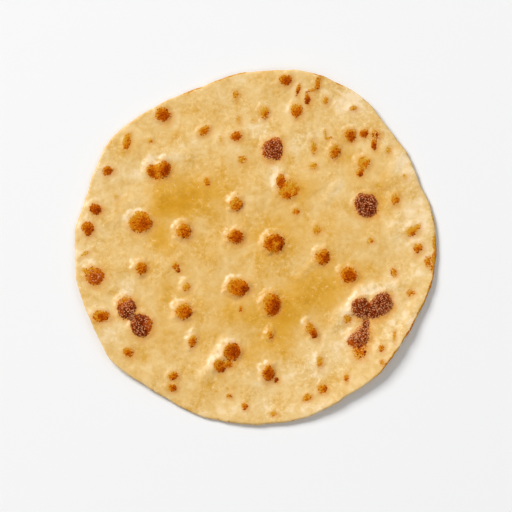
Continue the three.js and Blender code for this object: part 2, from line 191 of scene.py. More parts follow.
# Spots where the face touched the griddle: x, y, half-width, half-height, turn, bake, rise of the blister.
SPOTS = (
    # Upper left.
    Spot(-46, 67.1, 3.3, 3.3, 0, "brown", 0.5),
    Spot(-47.6, 67.4, 2.5, 2.9, 0, "brown", 0),
    Spot(-64, 53.9, 1.3, 3.8, -12, "orange", 0.2),
    Spot(-64.9, 53.6, 1.5, 3.2, -12, "gold", 0),
    Spot(-52.5, 53.9, 1, 1, 0, "gold", 0.1),
    Spot(-40.5, 57, 0.8, 1, 0, "olive", 0),
    Spot(-10, 77.3, 1.3, 1.8, 0, "gold", 0.15),
    Spot(-25.6, 59.3, 3, 1.9, 40, "tan", 0.4),
    Spot(-9.8, 56.3, 2.4, 2.3, 20, "brown", 0.3),
    Spot(-17.5, 54.9, 0.8, 1.6, 10, "olive", 0),
    Spot(-8.4, 65, 1.1, 2, 0, "olive", 0),
    Spot(-1.3, 64.8, 0.8, 0.8, 0, "olive", 0),
    Spot(-6.9, 44.4, 1.8, 1.9, 0, "gold", 0.15),
    Spot(-74, 38.6, 2.5, 2, 0, "brown", 0.4),
    Spot(-52.7, 38.4, 1.9, 3, 0, "brown", 0.8),
    Spot(-45.8, 39.2, 2.8, 4, 0, "brown", 0.9),
    Spot(-49.7, 37.5, 3, 3.2, 0, "orange", 0),
    Spot(-49.6, 40.4, 2, 1.6, 0, "orange", 0),
    Spot(-45.2, 39.8, 1.8, 2.9, 0, "deep", 0),
    Spot(-80, 19.1, 2.6, 2.7, 0, "deep", 0.4),
    Spot(-84, 9.1, 2.8, 3.3, 0, "brown", 0.4),
    Spot(-57.7, 12.2, 5.7, 4.6, 0, "tan", 0.7),
    Spot(-56.5, 12.8, 3, 3.6, 0, "brown", 0),
    Spot(-57.8, 17, 2.4, 1.3, 0, "gold", 0),
    Spot(-70, 25.5, 1, 1.1, 0, "olive", 0),
    Spot(-85.7, -3.7, 2.9, 0.9, 38, "faint", 0),
    Spot(-24.5, 33.1, 1.5, 1.7, 0, "orange", 0.3),
    # Upper middle and right.
    Spot(4.4, 68.3, 2.2, 2.6, 0, "gold", 0.5),
    Spot(5, 68.8, 1.1, 1.6, 0, "orange", 0),
    Spot(15, 84.6, 3, 2.5, 0, "brown", 0.5),
    Spot(21.2, 80.2, 1, 2.7, -15, "tan", 0.2),
    Spot(31.3, 83.3, 1.2, 3.3, -14, "orange", 0.3),
    Spot(28.3, 79.4, 2.4, 0.7, 22, "faint", 0),
    Spot(26.1, 75.1, 1.4, 2.3, 0, "deep", 0.2),
    Spot(35, 74.2, 1.5, 2, 0, "gold", 0.2),
    Spot(20.6, 69.1, 2.6, 3.1, 0, "tan", 0.5),
    Spot(8.2, 49.8, 4.6, 5.6, -18, "dark", 0.5),
    Spot(10.3, 52.6, 2.7, 3, 0, "dark", 0),
    Spot(10.3, 47.3, 2.8, 2.5, 0, "dark", 0),
    Spot(29, 50.9, 1.3, 3.1, 5, "gold", 0.2),
    Spot(34.9, 57.7, 0.8, 2.3, 0, "faint", 0.15),
    Spot(36.9, 55.4, 1.3, 0.6, 12, "gold", 0),
    Spot(39.9, 48.4, 2.4, 3.7, -12, "tan", 0.6),
    Spot(49, 70.2, 1.7, 1.3, 15, "gold", 0.2),
    Spot(47.6, 56.6, 2.8, 3, 0, "brown", 0.5),
    Spot(54.4, 57.6, 1.8, 2, 0, "brown", 0.3),
    Spot(60, 57, 2.2, 2.4, 0, "speckled", 0.3),
    Spot(59.2, 52.1, 1.2, 2.2, 0, "brown", 0.2),
    Spot(66.5, 49.3, 1.3, 1.8, 0, "faint", 0.15),
    Spot(52, 49.3, 0.7, 0.7, 0, "olive", 0),
    Spot(54.2, 42.6, 3, 3, 0, "gold", 0.5),
    Spot(54.5, 43, 2, 1.8, 0, "orange", 0),
    Spot(52.3, 37.8, 1.5, 2.1, 0, "brown", 0.2),
    Spot(28.5, 41.1, 1.8, 1.5, 0, "gold", 0.15),
    Spot(61.5, 31.1, 2.6, 1.5, 0, "olive", 0.1),
    Spot(74.5, 35.6, 1.3, 1.3, 0, "olive", 0.1),
    # Middle.
    Spot(-9.6, 21.6, 2.8, 3.1, 0, "orange", 1.2),
    Spot(-9.7, 21.3, 2, 1.8, 0, "tan", 0),
    Spot(-35.7, 7.9, 3.6, 3.7, 0, "tan", 1.2),
    Spot(-9.8, 5, 3.8, 3.4, 0, "brown", 1.2),
    Spot(16.2, 29, 4.6, 4.6, 0, "gold", 0.6),
    Spot(12.3, 33.8, 1.9, 3, -8, "brown", 0.4),
    Spot(15.1, 26.3, 2.3, 1.5, -40, "tan", 0),
    Spot(19.4, 29.1, 1.9, 2.3, 0, "orange", 0),
    Spot(20.3, 18.2, 1.5, 1.5, 0, "orange", 0.2),
    Spot(30.6, 8.7, 1.8, 2, 0, "gold", 0.2),
    Spot(9.2, 1.6, 4.8, 4.7, 0, "orange", 1.3),
    Spot(6.6, 2.6, 1.9, 2.9, -35, "brown", 0),
    Spot(9.8, 4.2, 2.6, 1.4, 0, "brown", 0),
    Spot(12.3, 0.8, 1.6, 1.9, 0, "deep", 0),
    Spot(10.2, -1.2, 1.6, 1.2, 0, "speckled", 0),
    Spot(33.4, -5.3, 3.2, 3.5, 0, "tan", 0.9),
    Spot(34.8, -4.9, 2, 2.6, 0, "brown", 0),
    Spot(55.2, 21.1, 5.2, 5.4, 0, "char", 0.5),
    Spot(52.9, 23.9, 2.9, 3.1, 0, "char", 0),
    Spot(57.7, 23.5, 2.7, 2.6, 0, "char", 0),
    Spot(57.6, 18.6, 2.9, 2.8, 0, "char", 0),
    Spot(69.6, 24.1, 2, 2.8, -15, "orange", 0.4),
    Spot(78.2, 8.1, 3.2, 2.3, 30, "gold", 0.4),
    Spot(78.2, 7.2, 1.6, 1.3, 30, "orange", 0),
    Spot(81, 10.4, 1.9, 1, 48, "gold", 0),
    Spot(57.5, 3.2, 1.5, 1.3, 0, "gold", 0.15),
    Spot(81, -0.9, 2.3, 2.5, 0, "tan", 0.3),
    Spot(86, -7.5, 1.5, 2.3, 0, "orange", 0.2),
    # Lower left.
    Spot(-80.4, -15, 4.5, 4.3, 0, "brown", 0.4),
    Spot(-80.6, -14.9, 3.2, 2.9, 0, "grainy", 0),
    Spot(-85.6, -12.2, 1.9, 1, -25, "gold", 0),
    Spot(-57.3, -10.9, 2.8, 2.9, 0, "tan", 1),
    Spot(-64.4, -30.8, 4.3, 5, 0, "brown", 0.9),
    Spot(-65.2, -29.2, 3, 3.1, 0, "grainy", 0),
    Spot(-64.3, -33.4, 3.9, 3.1, -10, "char", 0),
    Spot(-62.2, -30.6, 1.7, 1.8, 0, "char", 0),
    Spot(-56.9, -40, 5, 5.6, 12, "brown", 0.6),
    Spot(-55.2, -39.2, 3, 3.6, 0, "grainy", 0),
    Spot(-58.7, -40.6, 3.2, 5.1, 24, "char", 0),
    Spot(-58.3, -37, 3, 1.8, 0, "char", 0),
    Spot(-77, -35.4, 4, 2.8, 0, "tan", 0.4),
    Spot(-77.6, -35.2, 2.6, 2.2, 0, "brown", 0),
    Spot(-63.5, -53.5, 2.3, 2.3, 0, "tan", 0.3),
    Spot(-40, -9.5, 1.7, 1.8, 0, "orange", 0.3),
    Spot(-38.5, -12.1, 0.9, 0.9, 0, "brown", 0),
    Spot(-34.4, -20.4, 1.8, 2.2, 0, "gold", 0.6),
    Spot(-35.9, -32.7, 3.9, 3.8, 0, "tan", 1.2),
    Spot(-33.8, -33.6, 1.7, 1.6, 0, "brown", 0),
    Spot(-8.8, -20.8, 5.2, 4.3, 0, "tan", 1.2),
    Spot(-6.2, -20.9, 2.6, 2.5, 0, "deep", 0),
    Spot(-7.5, -31.3, 1, 1.5, 0, "tan", 0.1),
    Spot(-31.3, -47.9, 1.8, 3, -20, "tan", 0.9),
    Spot(-11.6, -53.4, 4, 4, 0, "brown", 0.9),
    Spot(-11, -52.8, 2.9, 3.8, 0, "deep", 0),
    Spot(-18.1, -60.3, 2.8, 3, 0, "tan", 0.8),
    Spot(-17.2, -61.6, 1.5, 1.4, 0, "brown", 0),
    Spot(-13.6, -59.5, 1.9, 1.9, 0, "tan", 0),
    Spot(-41, -65.4, 2.2, 2.1, 0, "tan", 0.5),
    Spot(-41.5, -71.4, 2, 1.8, 0, "brown", 0.4),
    Spot(-13.5, -75.4, 1.3, 1, 0, "orange", 0.15),
    Spot(-14, -71.4, 0.7, 0.7, 0, "olive", 0),
    Spot(-5.5, -80.8, 1.4, 1.3, 0, "tan", 0.15),
    # Lower right.
    Spot(46.7, -14.5, 4, 3.7, 0, "brown", 0.8),
    Spot(46.5, -14.7, 3, 2.8, 0, "brown", 0),
    Spot(7.8, -29.2, 4.1, 5.2, 0, "tan", 1.1),
    Spot(8.8, -29.9, 3.2, 4.4, 0, "brown", 0),
    Spot(9.6, -28.8, 1.8, 3.9, 0, "deep", 0),
    Spot(27.9, -42.4, 2.1, 3.9, 33, "tan", 1),
    Spot(28.6, -43.6, 1.5, 2.4, 33, "brown", 0),
    Spot(7.5, -44.4, 1.6, 2.1, 0, "orange", 0.8),
    Spot(45.9, -36.4, 1.8, 2.2, 0, "gold", 0.2),
    Spot(69, -13.1, 1.5, 2, 0, "gold", 0.2),
    Spot(77.5, -23.7, 2, 1.9, 0, "faint", 0.2),
    Spot(52.5, -31.2, 4.2, 4.9, 0, "char", 0.9),
    Spot(63, -29.3, 4.8, 5.9, -32, "char", 0.8),
    Spot(58.5, -32.4, 4.1, 4.3, 0, "char", 0),
    Spot(55.1, -39, 1.7, 2.1, 0, "char", 0),
    Spot(53.8, -42.4, 2.9, 3.8, -14, "sooty", 0),
    Spot(51.6, -46.4, 4.8, 3.5, 12, "sooty", 0.7),
    Spot(47.6, -48.3, 1.7, 1.7, 0, "tan", 0),
    Spot(52, -51.2, 3.6, 3.8, 0, "speckled", 0),
    Spot(51.6, -55.2, 3.3, 2.5, 0, "dusted", 0.2),
    Spot(69, -46.1, 1, 2.3, 0, "faint", 0.15),
    Spot(62.5, -51.7, 1.4, 1.8, 0, "orange", 0.15),
    Spot(63, -59.3, 1, 1.3, 0, "faint", 0.1),
    Spot(6.5, -64.2, 2.9, 3.8, -8, "brown", 1),
    Spot(10.3, -67.2, 0.9, 1.3, -20, "deep", 0),
    Spot(32, -58.3, 1.5, 2.8, 0, "gold", 0.3),
    Spot(45, -66.4, 1, 1.8, 0, "orange", 0.15),
    Spot(33.5, -72, 2.2, 2.3, 0, "tan", 0.3),
    Spot(25.5, -76.5, 2.1, 1.5, 30, "orange", 0.15),
    Spot(9, -84.2, 1.3, 1, 0, "gold", 0.1),
)

# Stretches of the rim that the griddle toasted: bearing, spread, bake, how far in from the outline. On the
# right, away from the key light, the brown is also painted shade of the rounded edge.
TOASTED_AND_SHADED_RIM = (
    (-12, 16, 0.44, 1.7),
    (-2, 7, 0.42, 4),
    (9, 5, 0.24, 1.6),
    (31, 7, 0.18, 1.4),
    (-29, 5, 0.55, 1.5),
    (-42, 7, 0.42, 1.4),
    (63, 1.5, 0.45, 1.4),
    (70, 2, 0.45, 1.4),
    (99, 8, 0.34, 1.4),
    (112, 4, 0.42, 1.4),
)

# The toast reaches in as far as about this part of its table value, and is full over this share of that.
# Along the rim it fades as it weakens from the second strength to the first.
TOAST_REACH = 0.8
TOAST_CORE = 0.2
TOAST_FADE = (0.06, 0.3)

# Stretches of the rim with small browned nicks: bearing, spread, share of the rim that is browned.
NICKED_RIM = (
    (-75, 13, 0.6),
    (-100, 14, 0.62),
    (-55, 10, 0.45),
    (-126, 12, 0.35),
    (104, 14, 0.5),
    (75, 16, 0.35),
    (-20, 30, 0.4),
)

# The bake of the nicks, and where they end inside the outline.
NICK_BAKE = 0.7
NICK_REACH = (0.4, 1.5)

# A nick starts where the noise passes the first limit and is full at the second. Both limits are lower by
# the easing times the browned share, and below the least share there are no nicks.
NICK_LIMITS = (1.02, 1.25)
NICK_EASING = 0.62
NICK_LEAST = 0.05

# Tone of the dough, from 0 for pale and floury to 1 for golden with melted ghee.
MIDDLE_TONE = 0.53
RIM_TONE = 0.37
# How much paler the painted highlight makes the dough on the blisters' lit shoulders.
SHOULDER_HIGHLIGHT = 0.54

# Golden patches: x, y, reach along, reach across, turn, strength.
GOLDEN_PATCHES = (
    (-38, 23.5, 16, 8.5, 12, 0.5),
    (-50, 19, 5, 8, -20, 0.2),
    (-46, 4, 5, 6.5, 0, 0.36),
    (-44, -23, 10, 6, 55, 0.16),
    (-47, -43, 9, 8, 0, 0.14),
    (-20, 31, 9, 8, 0, 0.14),
    (12, 7, 16, 9, 10, 0.16),
    (24, 28, 7, 7, -20, 0.2),
    (32, -23, 16, 10, 10, 0.36),
    (12, -33, 9, 8, 0, 0.4),
    (13, -44, 9, 8, 20, 0.3),
    (-2, -54, 13, 5, 8, 0.24),
    (-8, -34, 11, 8, 0, 0.26),
    (-26, -47, 6, 7, 0, 0.14),
    (33, -40, 6, 5, 0, 0.1),
    (47, 46, 5, 12, 5, 0.14),
    (60, 44, 9, 10, 0, 0.16),
    (62, 24, 10, 9, 0, 0.18),
    (40, -9, 7, 6, 0, 0.12),
    (53, -13, 12, 5, 0, 0.16),
    (-44, 38, 6, 5, 0, 0.14),
    (-60, 52, 6, 10, 30, 0.12),
    (13, 85, 7, 5, 0, 0.14),
    (-62, -52, 10, 8, 0, 0.12),
    (-22, -70, 14, 9, 0, 0.1),
)

# Pale patches: x, y, reach along, reach across, turn, strength. Most are floury; the three on folds are
# painted highlight.
PALE_PATCHES = (
    (-60, 16, 4, 7, -25, 0.36),
    (-50, 43, 6, 4, 30, 0.36),
    (4, 61, 8, 7, 0, 0.24),
    (9, 37, 5, 7, 30, 0.36),
    (24, 54, 6, 10, -25, 0.3),
    (38, 30, 5, 8, -35, 0.2),
    (46, 73, 12, 9, -20, 0.26),
    (68, 48, 6, 14, 30, 0.24),
    (75, 10, 8, 12, 10, 0.2),
    (83, 20, 5, 22, 8, 0.12),
    # Painted highlight along a fold.
    (62, -22, 9, 6, 10, 0.36),
    (74, -16, 8, 7, 0, 0.2),
    # Painted highlight along a fold.
    (47, -33, 12, 4.5, 42, 0.42),
    (70, -42, 7, 14, -35, 0.24),
    (27, -61, 10, 13, -25, 0.3),
    (42, -52, 8, 8, 0, 0.2),
    # Painted highlight along a fold.
    (-21, -57, 5, 12, -40, 0.3),
    (0, -70, 8, 12, 10, 0.16),
    (10, -84, 20, 4, 0, 0.1),
    (-66, -22, 6, 6, 0, 0.16),
    (-70, -44, 5, 8, 30, 0.14),
    (-78, 24, 4, 14, -20, 0.1),
    (-34, 50, 16, 5, 10, 0.16),
    (-10, 72, 7, 14, 0, 0.08),
    (-80, 4, 6, 12, 0, 0.12),
    (-50, -8, 6, 5, 0, 0.1),
    (-3, 26, 8, 6, 0, 0.12),
    (-60, 38, 6, 9, -25, 0.14),
    (22, -10, 8, 4, 40, 0.14),
)

# Spots of the underside, drawn at random. Most are near the smallest half-width, and few are large.
UNDERSIDE_SPOTS = 74
UNDERSIDE_SEED = 41
UNDERSIDE_REACH = 82
UNDERSIDE_SMALLEST = 1.2
UNDERSIDE_GROWTH = 5.5
UNDERSIDE_RARITY = 2.4
UNDERSIDE_STRETCH = (0.7, 1.4)
UNDERSIDE_BAKE = (0.25, 0.62)
UNDERSIDE_BAKE_GROWTH = 0.06
UNDERSIDE_DARKEST = 0.9
UNDERSIDE_TONE = 0.42

# Depth of the underside's hollows, the browning that ends them and the share of the radius they reach.
HOLLOW_DEPTH = 0.16
HOLLOW_BROWNING = (0.1, 0.5)
HOLLOW_END = 0.96

# Mesh fineness: rings of each face, rows round the edge, and sectors of a ring.
UPPER_RINGS = 148
UNDERSIDE_RINGS = UPPER_RINGS // 2
EDGE_BANDS = 7
SECTORS = 6

# Where the looks of the upper face end on the rounded edge, from 0 at its foot to 1 at its top.
UPPER_FADE = (0.2, 0.6)

# Unevenness, as layers of soft noise: wavelength, seed, strength.
CRUMBLED_EDGE = ((2.1, 11, 2 / 3), (1.05, 12, 1 / 3))
SPOT_WANDER_X = ((4.2, 21, 0.6), (1.7, 22, 0.16))
SPOT_WANDER_Y = ((4.2, 23, 0.6), (1.7, 24, 0.16))
FLANK_WANDER = ((4.2, 25, 1.1), (1.9, 26, 0.8))
FOLD_WANDER = ((7, 27, 1.4),)
SHOULDER_BREAKS = ((1.9, 28, 1),)
TOAST_WANDER = ((4.3, 31, 0.4),)
NICK_SPECKS = ((1.7, 32, 0.5),)
TONE_DRIFT_X = ((13, 51, 3),)
TONE_DRIFT_Y = ((13, 52, 3),)
HOLLOW_LUMPS = ((9, 61, 0.35), (3.4, 62, 0.15))

# Cells before the noise repeats, its turn in degrees from one seed to the next, and its gain.
NOISE_CELLS = 256
NOISE_TURN = 37
NOISE_GAIN = 1.5


def smoothstep(value, start, end):
    """0 before start, 1 after end and a soft rise between them."""
    share = np.clip((value - start) / (end - start), 0, 1)
    return share * share * (3 - 2 * share)


def hump(bearing, middle, spread):
    """1 at a bearing, fading over its spread."""
    away = (bearing - middle + 180) % 360 - 180
    return np.exp(-((away / spread) ** 2))


def turned(x, y, degrees):
    """Coordinates along axes turned anticlockwise."""
    angle = math.radians(degrees)
    along = x * math.cos(angle) + y * math.sin(angle)
    across = y * math.cos(angle) - x * math.sin(angle)
    return along, across


def place_at(bearing, radius):
    """Coordinates of a place at a bearing and a distance from the middle."""
    return radius * np.cos(np.radians(bearing)), radius * np.sin(np.radians(bearing))


def bearing_of(x, y):
    """Bearing of a place from the middle."""
    return np.degrees(np.arctan2(y, x))


def soft_noise(x, y, wavelength, seed):
    """Rounded noise, mostly between -1 and 1, that changes over about one wavelength."""
    slopes = np.random.default_rng(seed).uniform(0, 2 * math.pi, (NOISE_CELLS, NOISE_CELLS))
    along, across = turned(x, y, NOISE_TURN * (seed + 1))
    along = along / wavelength
    across = across / wavelength
    column = np.floor(along).astype(int)
    row = np.floor(across).astype(int)
    right = along - column
    up = across - row

    def corner(columns, rows):
        slope = slopes[(column + columns) % NOISE_CELLS, (row + rows) % NOISE_CELLS]
        return np.cos(slope) * (right - columns) + np.sin(slope) * (up - rows)

    right_share = smoothstep(right, 0, 1)
    near = corner(0, 0) * (1 - right_share) + corner(1, 0) * right_share
    far = corner(0, 1) * (1 - right_share) + corner(1, 1) * right_share
    up_share = smoothstep(up, 0, 1)
    return NOISE_GAIN * (near * (1 - up_share) + far * up_share)


def layered_noise(x, y, layers):
    """Sum of layers of soft noise."""
    return sum(strength * soft_noise(x, y, wavelength, seed) for wavelength, seed, strength in layers)


def rim_radius(bearing, shape):
    """Radius of the outline at a bearing."""
    radius = shape.mean_radius / MM
    for middle, spread, growth in OUTLINE_LOBES:
        radius = radius + growth * hump(bearing, middle, spread)
    for count, share, phase in RAGGED_WAVES:
        radius = radius + RAGGED_DEPTH * share * np.sin(np.radians(count * bearing + phase))
    return radius


def crumbled_radius(bearing, shape):
    """Radius of the outline with the small crumbles of its edge."""
    radius = rim_radius(bearing, shape)
    x, y = place_at(bearing, radius)
    return radius + CRUMBLED_DEPTH * layered_noise(x, y, CRUMBLED_EDGE)


def share_of_radius(x, y, shape):
    """How far out a place is, from 0 in the middle to 1 on the outline."""
    return np.hypot(x, y) / rim_radius(bearing_of(x, y), shape)


def curl_height(x, y, shape):
    """Height of the curling rim above the flat middle."""
    curl = np.maximum(0, (share_of_radius(x, y, shape) - LIFT_START) / (1 - LIFT_START)) ** 2
    bearing = bearing_of(x, y)
    lift = RIM_CLEARANCE
    for middle, spread, rise in RIM_LIFTS:
        lift = lift + rise * shape.curl * hump(bearing, middle, spread)
    return curl * lift


def underside_height(x, y, shape):
    """Height of the underside, which its low blisters bring down to the table."""
    nearest = np.full(np.shape(x), np.inf)
    for bearing, radius in LOW_BLISTERS:
        crown_x, crown_y = place_at(bearing, radius)
        nearest = np.minimum(nearest, np.hypot(x - crown_x, y - crown_y))
    return curl_height(x, y, shape) * smoothstep(nearest, 0, LOW_BLISTER_REACH)


def spot_size(spot):
    """Mean half-width of a spot."""
    return math.sqrt(spot.half_x * spot.half_y)


def spot_distance(spot, x, y):
    """Distance from a spot's edge: negative inside it."""
    across, along = turned(x - spot.x, y - spot.y, spot.turn)
    return (np.hypot(across / spot.half_x, along / spot.half_y) - 1) * spot_size(spot)


def blister_flank(spot, x, y, wander):
    """1 on the crown of a spot's blister, 0 off it and a fall between them, along a wandering line."""
    distance = spot_distance(spot, x, y) + wander
    return 1 - smoothstep(distance, -CREST_ROUNDING, FLANK)


def blister_height(x, y, shape):
    """Blisters that meet keep the height of the higher one, with a soft valley between them."""
    wander = layered_noise(x, y, FLANK_WANDER)
    cubes = np.zeros(np.shape(x))
    for spot in SPOTS:
        if spot.rise > 0:
            flank = blister_flank(spot, x - PUFF_X, y - PUFF_Y, wander)
            cubes += (spot.rise * shape.blister_rise * flank) ** 3
    return np.cbrt(cubes)


def painted_shoulder_highlight(x, y):
    """Painted highlight on the shoulder of each blister that faces the key light."""
    wander = layered_noise(x, y, FLANK_WANDER)
    breaks = smoothstep(layered_noise(x, y, SHOULDER_BREAKS), *SHOULDER_BREAKING)
    broken = SHOULDER_LEAST + (1 - SHOULDER_LEAST) * breaks
    pale = np.zeros(np.shape(x))
    for spot in SPOTS:
        if spot.rise > 0:
            flank = blister_flank(spot, x - SHOULDER_X, y - SHOULDER_Y, wander)
            away = np.hypot(x - spot.x, y - spot.y) + TINY
            towards = turned(x - spot.x, y - spot.y, LIT_SHOULDER_BEARING)[0] / away
            band = (4 * flank * (1 - flank)) ** SHOULDER_SHARPNESS
            pale = np.maximum(pale, spot.rise * band * smoothstep(towards, *SHOULDER_FADE))
    return pale * broken


def fold_height(x, y):
    """Height of the soft folds."""
    wander = layered_noise(x, y, FOLD_WANDER)
    height = np.zeros(np.shape(x))
    for from_x, from_y, to_x, to_y, half, rise in FOLDS:
        run_x = to_x - from_x
        run_y = to_y - from_y
        share = ((x - from_x) * run_x + (y - from_y) * run_y) / (run_x**2 + run_y**2)
        share = np.clip(share, 0, 1)
        distance = np.hypot(x - from_x - share * run_x, y - from_y - share * run_y)
        height += rise * (1 - smoothstep(np.maximum(0, distance + wander), 0, half))
    return height


def swell_height(x, y):
    """Height of the slow swells."""
    height = np.zeros(np.shape(x))
    for wavelength, bearing, depth, phase in SWELLS:
        travel = turned(x, y, bearing)[0]
        height += depth * np.sin(2 * math.pi * travel / wavelength + math.radians(phase))
    return height


def top_height(x, y, shape):
    """Height of the upper face."""
    thickness = shape.thickness / MM * (1 - RIM_THINNING * share_of_radius(x, y, shape) ** 4)
    relief = swell_height(x, y) + blister_height(x, y, shape) + fold_height(x, y)
    return curl_height(x, y, shape) + thickness + relief


# ---- How each place is baked ----------------------------------------------------------------------

# A spot's edge fades over this much on each side of a line a little outside the spot. It fades over more
# where the spot is weakly baked, by these widenings at these bakes, and over less where the spot is small.
EDGE_SOFTNESS = 1.3
EDGE_SPREAD = 0.2
WIDENED_BAKES = (0.3, 0.7)
EDGE_WIDENING = (2.1, 1)
SMALL_EDGE = 0.45

# A spot's bake weakens to the first share at its edge, or towards the second on these darkest bakes. It
# weakens from this deep inside the edge, or this share of a small spot, and later on its lower right, so
# that its upper left, towards the key light, is paler as painted light.
EDGE_BAKE = 0.6
CHARRED_EDGE_BAKE = 0.86
CHARRING_BAKES = (0.75, 1)
PALING_DEPTH = 2.4
PALING_SHARE = 0.9
PALING_LEAN = 1.1
UNDERSIDE_PALING_DEPTH = 2

# Outside a spot its bake ends between these distances.
BAKE_END = (1, 3.5)
UNDERSIDE_BAKE_END = (0.8, 3.5)

# The lower right of a spot, the side away from the key light, is darker by this share as painted shade, of
# which the darkest bakes keep a part.
SPOT_SHADING = 0.16
SHADED_BAKES = (0.6, 0.9)
SHADING_KEPT = (1, 0.25)

# Bakes with pale ash, and how the ash fades at the spot's edge.
ASHY_BAKES = ("grainy", "dark", "char", "sooty")
ASH_FADE = (-0.6, 0.9)

# The golden browning round a spot is shifted to its lower right, away from the key light, as painted shade,
# and is narrower where the spot is small.
HALO_REACH = 4
HALO_START = -0.6
HALO_SHADE_SHIFT = 0.6
HALO_LEAST = 0.3
SMALL_HALO = 0.35

# A small spot's edge and halo widen with its half-width, by their full width over this much of it.
WIDENING_SIZE = 6


def warped(x, y):
    """Places shifted a little at random, so that no spot has an even outline."""
    return x + layered_noise(x, y, SPOT_WANDER_X), y + layered_noise(x, y, SPOT_WANDER_Y)


def rim_browning(x, y, inward):
    """Cover and bake of the toast along the rim, partly painted shade on the right. inward is the distance
    from the outline.
    """
    bearing = bearing_of(x, y)
    cover = np.zeros(np.shape(x))
    bake = np.zeros(np.shape(x))
    uneven = TOAST_REACH + layered_noise(x, y, TOAST_WANDER)
    for middle, spread, strength, reach in TOASTED_AND_SHADED_RIM:
        toast = strength * hump(bearing, middle, spread)
        bake = np.maximum(bake, toast)
        inside = 1 - smoothstep(inward, TOAST_CORE * reach * uneven, reach * uneven)
        cover = np.maximum(cover, inside * smoothstep(toast, *TOAST_FADE))

    share = np.zeros(np.shape(x))
    for middle, spread, browned in NICKED_RIM:
        share = np.maximum(share, browned * hump(bearing, middle, spread))
    speck = 0.5 + layered_noise(x, y, NICK_SPECKS)
    start, end = (limit - NICK_EASING * share for limit in NICK_LIMITS)
    nicks = smoothstep(speck, start, end) * (share > NICK_LEAST)
    nicks = nicks * (1 - smoothstep(inward, *NICK_REACH))
    return np.maximum(cover, nicks), np.maximum(bake, NICK_BAKE * nicks)


def edge_share(distance, strength, size):
    """Share of a spot's browning, from 1 inside its edge to 0 outside it."""
    fade = EDGE_SOFTNESS * min(1, SMALL_EDGE + size / WIDENING_SIZE)
    fade = fade * np.interp(strength, WIDENED_BAKES, EDGE_WIDENING)
    return 1 - smoothstep(distance - EDGE_SPREAD, -fade, fade)


def spot_bake(distance, lean, strength, size):
    """How baked a spot is, darker on its lower right as painted shade and paler on its upper left as painted
    light. lean is 0 in its middle and 1 at its lower right edge.
    """
    edge_bake = np.interp(strength, CHARRING_BAKES, (EDGE_BAKE, CHARRED_EDGE_BAKE))
    depth = min(PALING_DEPTH, PALING_SHARE * size)
    paling = 1 - (1 - edge_bake) * smoothstep(distance - PALING_LEAN * lean, -depth, 1)
    reached = 1 - smoothstep(distance, *BAKE_END)
    shading = 1 + SPOT_SHADING * np.clip(lean, -1, 1) * np.interp(strength, SHADED_BAKES, SHADING_KEPT)
    return strength * paling * reached * shading


def spot_halo_and_shade(spot, strength, size, x, y):
    """How golden the dough round a spot is, shifted to its lower right as painted shade."""
    distance = spot_distance(spot, x - HALO_SHADE_SHIFT, y + HALO_SHADE_SHIFT)
    reach = HALO_REACH * min(1, SMALL_HALO + size / WIDENING_SIZE)
    return (HALO_LEAST + (1 - HALO_LEAST) * strength) * (1 - smoothstep(distance, HALO_START, reach))


def upper_baking(x, y, inward):
    """Cover of the spots, how baked and how charred each place is, and the golden browning round the spots
    with its painted shade.
    """
    warped_x, warped_y = warped(x, y)
    cover, bake = rim_browning(x, y, inward)
    bare = 1 - cover
    charred = np.zeros(np.shape(x))
    halo = np.zeros(np.shape(x))
    for spot in SPOTS:
        strength, browned = BAKES[spot.bake]
        size = spot_size(spot)
        distance = spot_distance(spot, warped_x, warped_y)
        lean = (warped_x - spot.x - warped_y + spot.y) / (size * math.sqrt(2))
        bare = bare * (1 - browned * edge_share(distance, strength, size))
        bake = np.maximum(bake, spot_bake(distance, lean, strength, size))
        halo = np.maximum(halo, spot_halo_and_shade(spot, strength, size, warped_x, warped_y))
        if spot.bake in ASHY_BAKES:
            charred = np.maximum(charred, 1 - smoothstep(distance, *ASH_FADE))
    return 1 - bare, bake, charred, halo


def underside_baking(x, y):
    """Cover and bake of the underside, with spots drawn at random."""
    draw = np.random.default_rng(UNDERSIDE_SEED)
    warped_x, warped_y = warped(x, y)
    bare = np.ones(np.shape(x))
    bake = np.zeros(np.shape(x))
    for _ in range(UNDERSIDE_SPOTS):
        bearing = draw.uniform(0, 360)
        reach = UNDERSIDE_REACH * math.sqrt(draw.uniform(0, 1))
        half = UNDERSIDE_SMALLEST + UNDERSIDE_GROWTH * draw.uniform(0, 1) ** UNDERSIDE_RARITY
        stretch = draw.uniform(*UNDERSIDE_STRETCH)
        turn = draw.uniform(0, 180)
        strength = min(UNDERSIDE_DARKEST, draw.uniform(*UNDERSIDE_BAKE) + UNDERSIDE_BAKE_GROWTH * half)
        spot = Spot(*place_at(bearing, reach), half * stretch, half / stretch, turn)
        distance = spot_distance(spot, warped_x, warped_y)
        bare = bare * smoothstep(distance, -EDGE_SOFTNESS, EDGE_SOFTNESS)
        depth = min(UNDERSIDE_PALING_DEPTH, PALING_SHARE * half)
        paling = 1 - (1 - EDGE_BAKE) * smoothstep(distance, -depth, 1)
        reached = 1 - smoothstep(distance, *UNDERSIDE_BAKE_END)
        bake = np.maximum(bake, strength * paling * reached)
    return 1 - bare, bake


def patch_sum(patches, x, y):
    """Sum of soft elliptical patches."""
    total = np.zeros(np.shape(x))
    for middle_x, middle_y, reach_along, reach_across, turn, strength in patches:
        along, across = turned(x - middle_x, y - middle_y, turn)
        total += strength * np.exp(-((along / reach_along) ** 2) - (across / reach_across) ** 2)
    return total


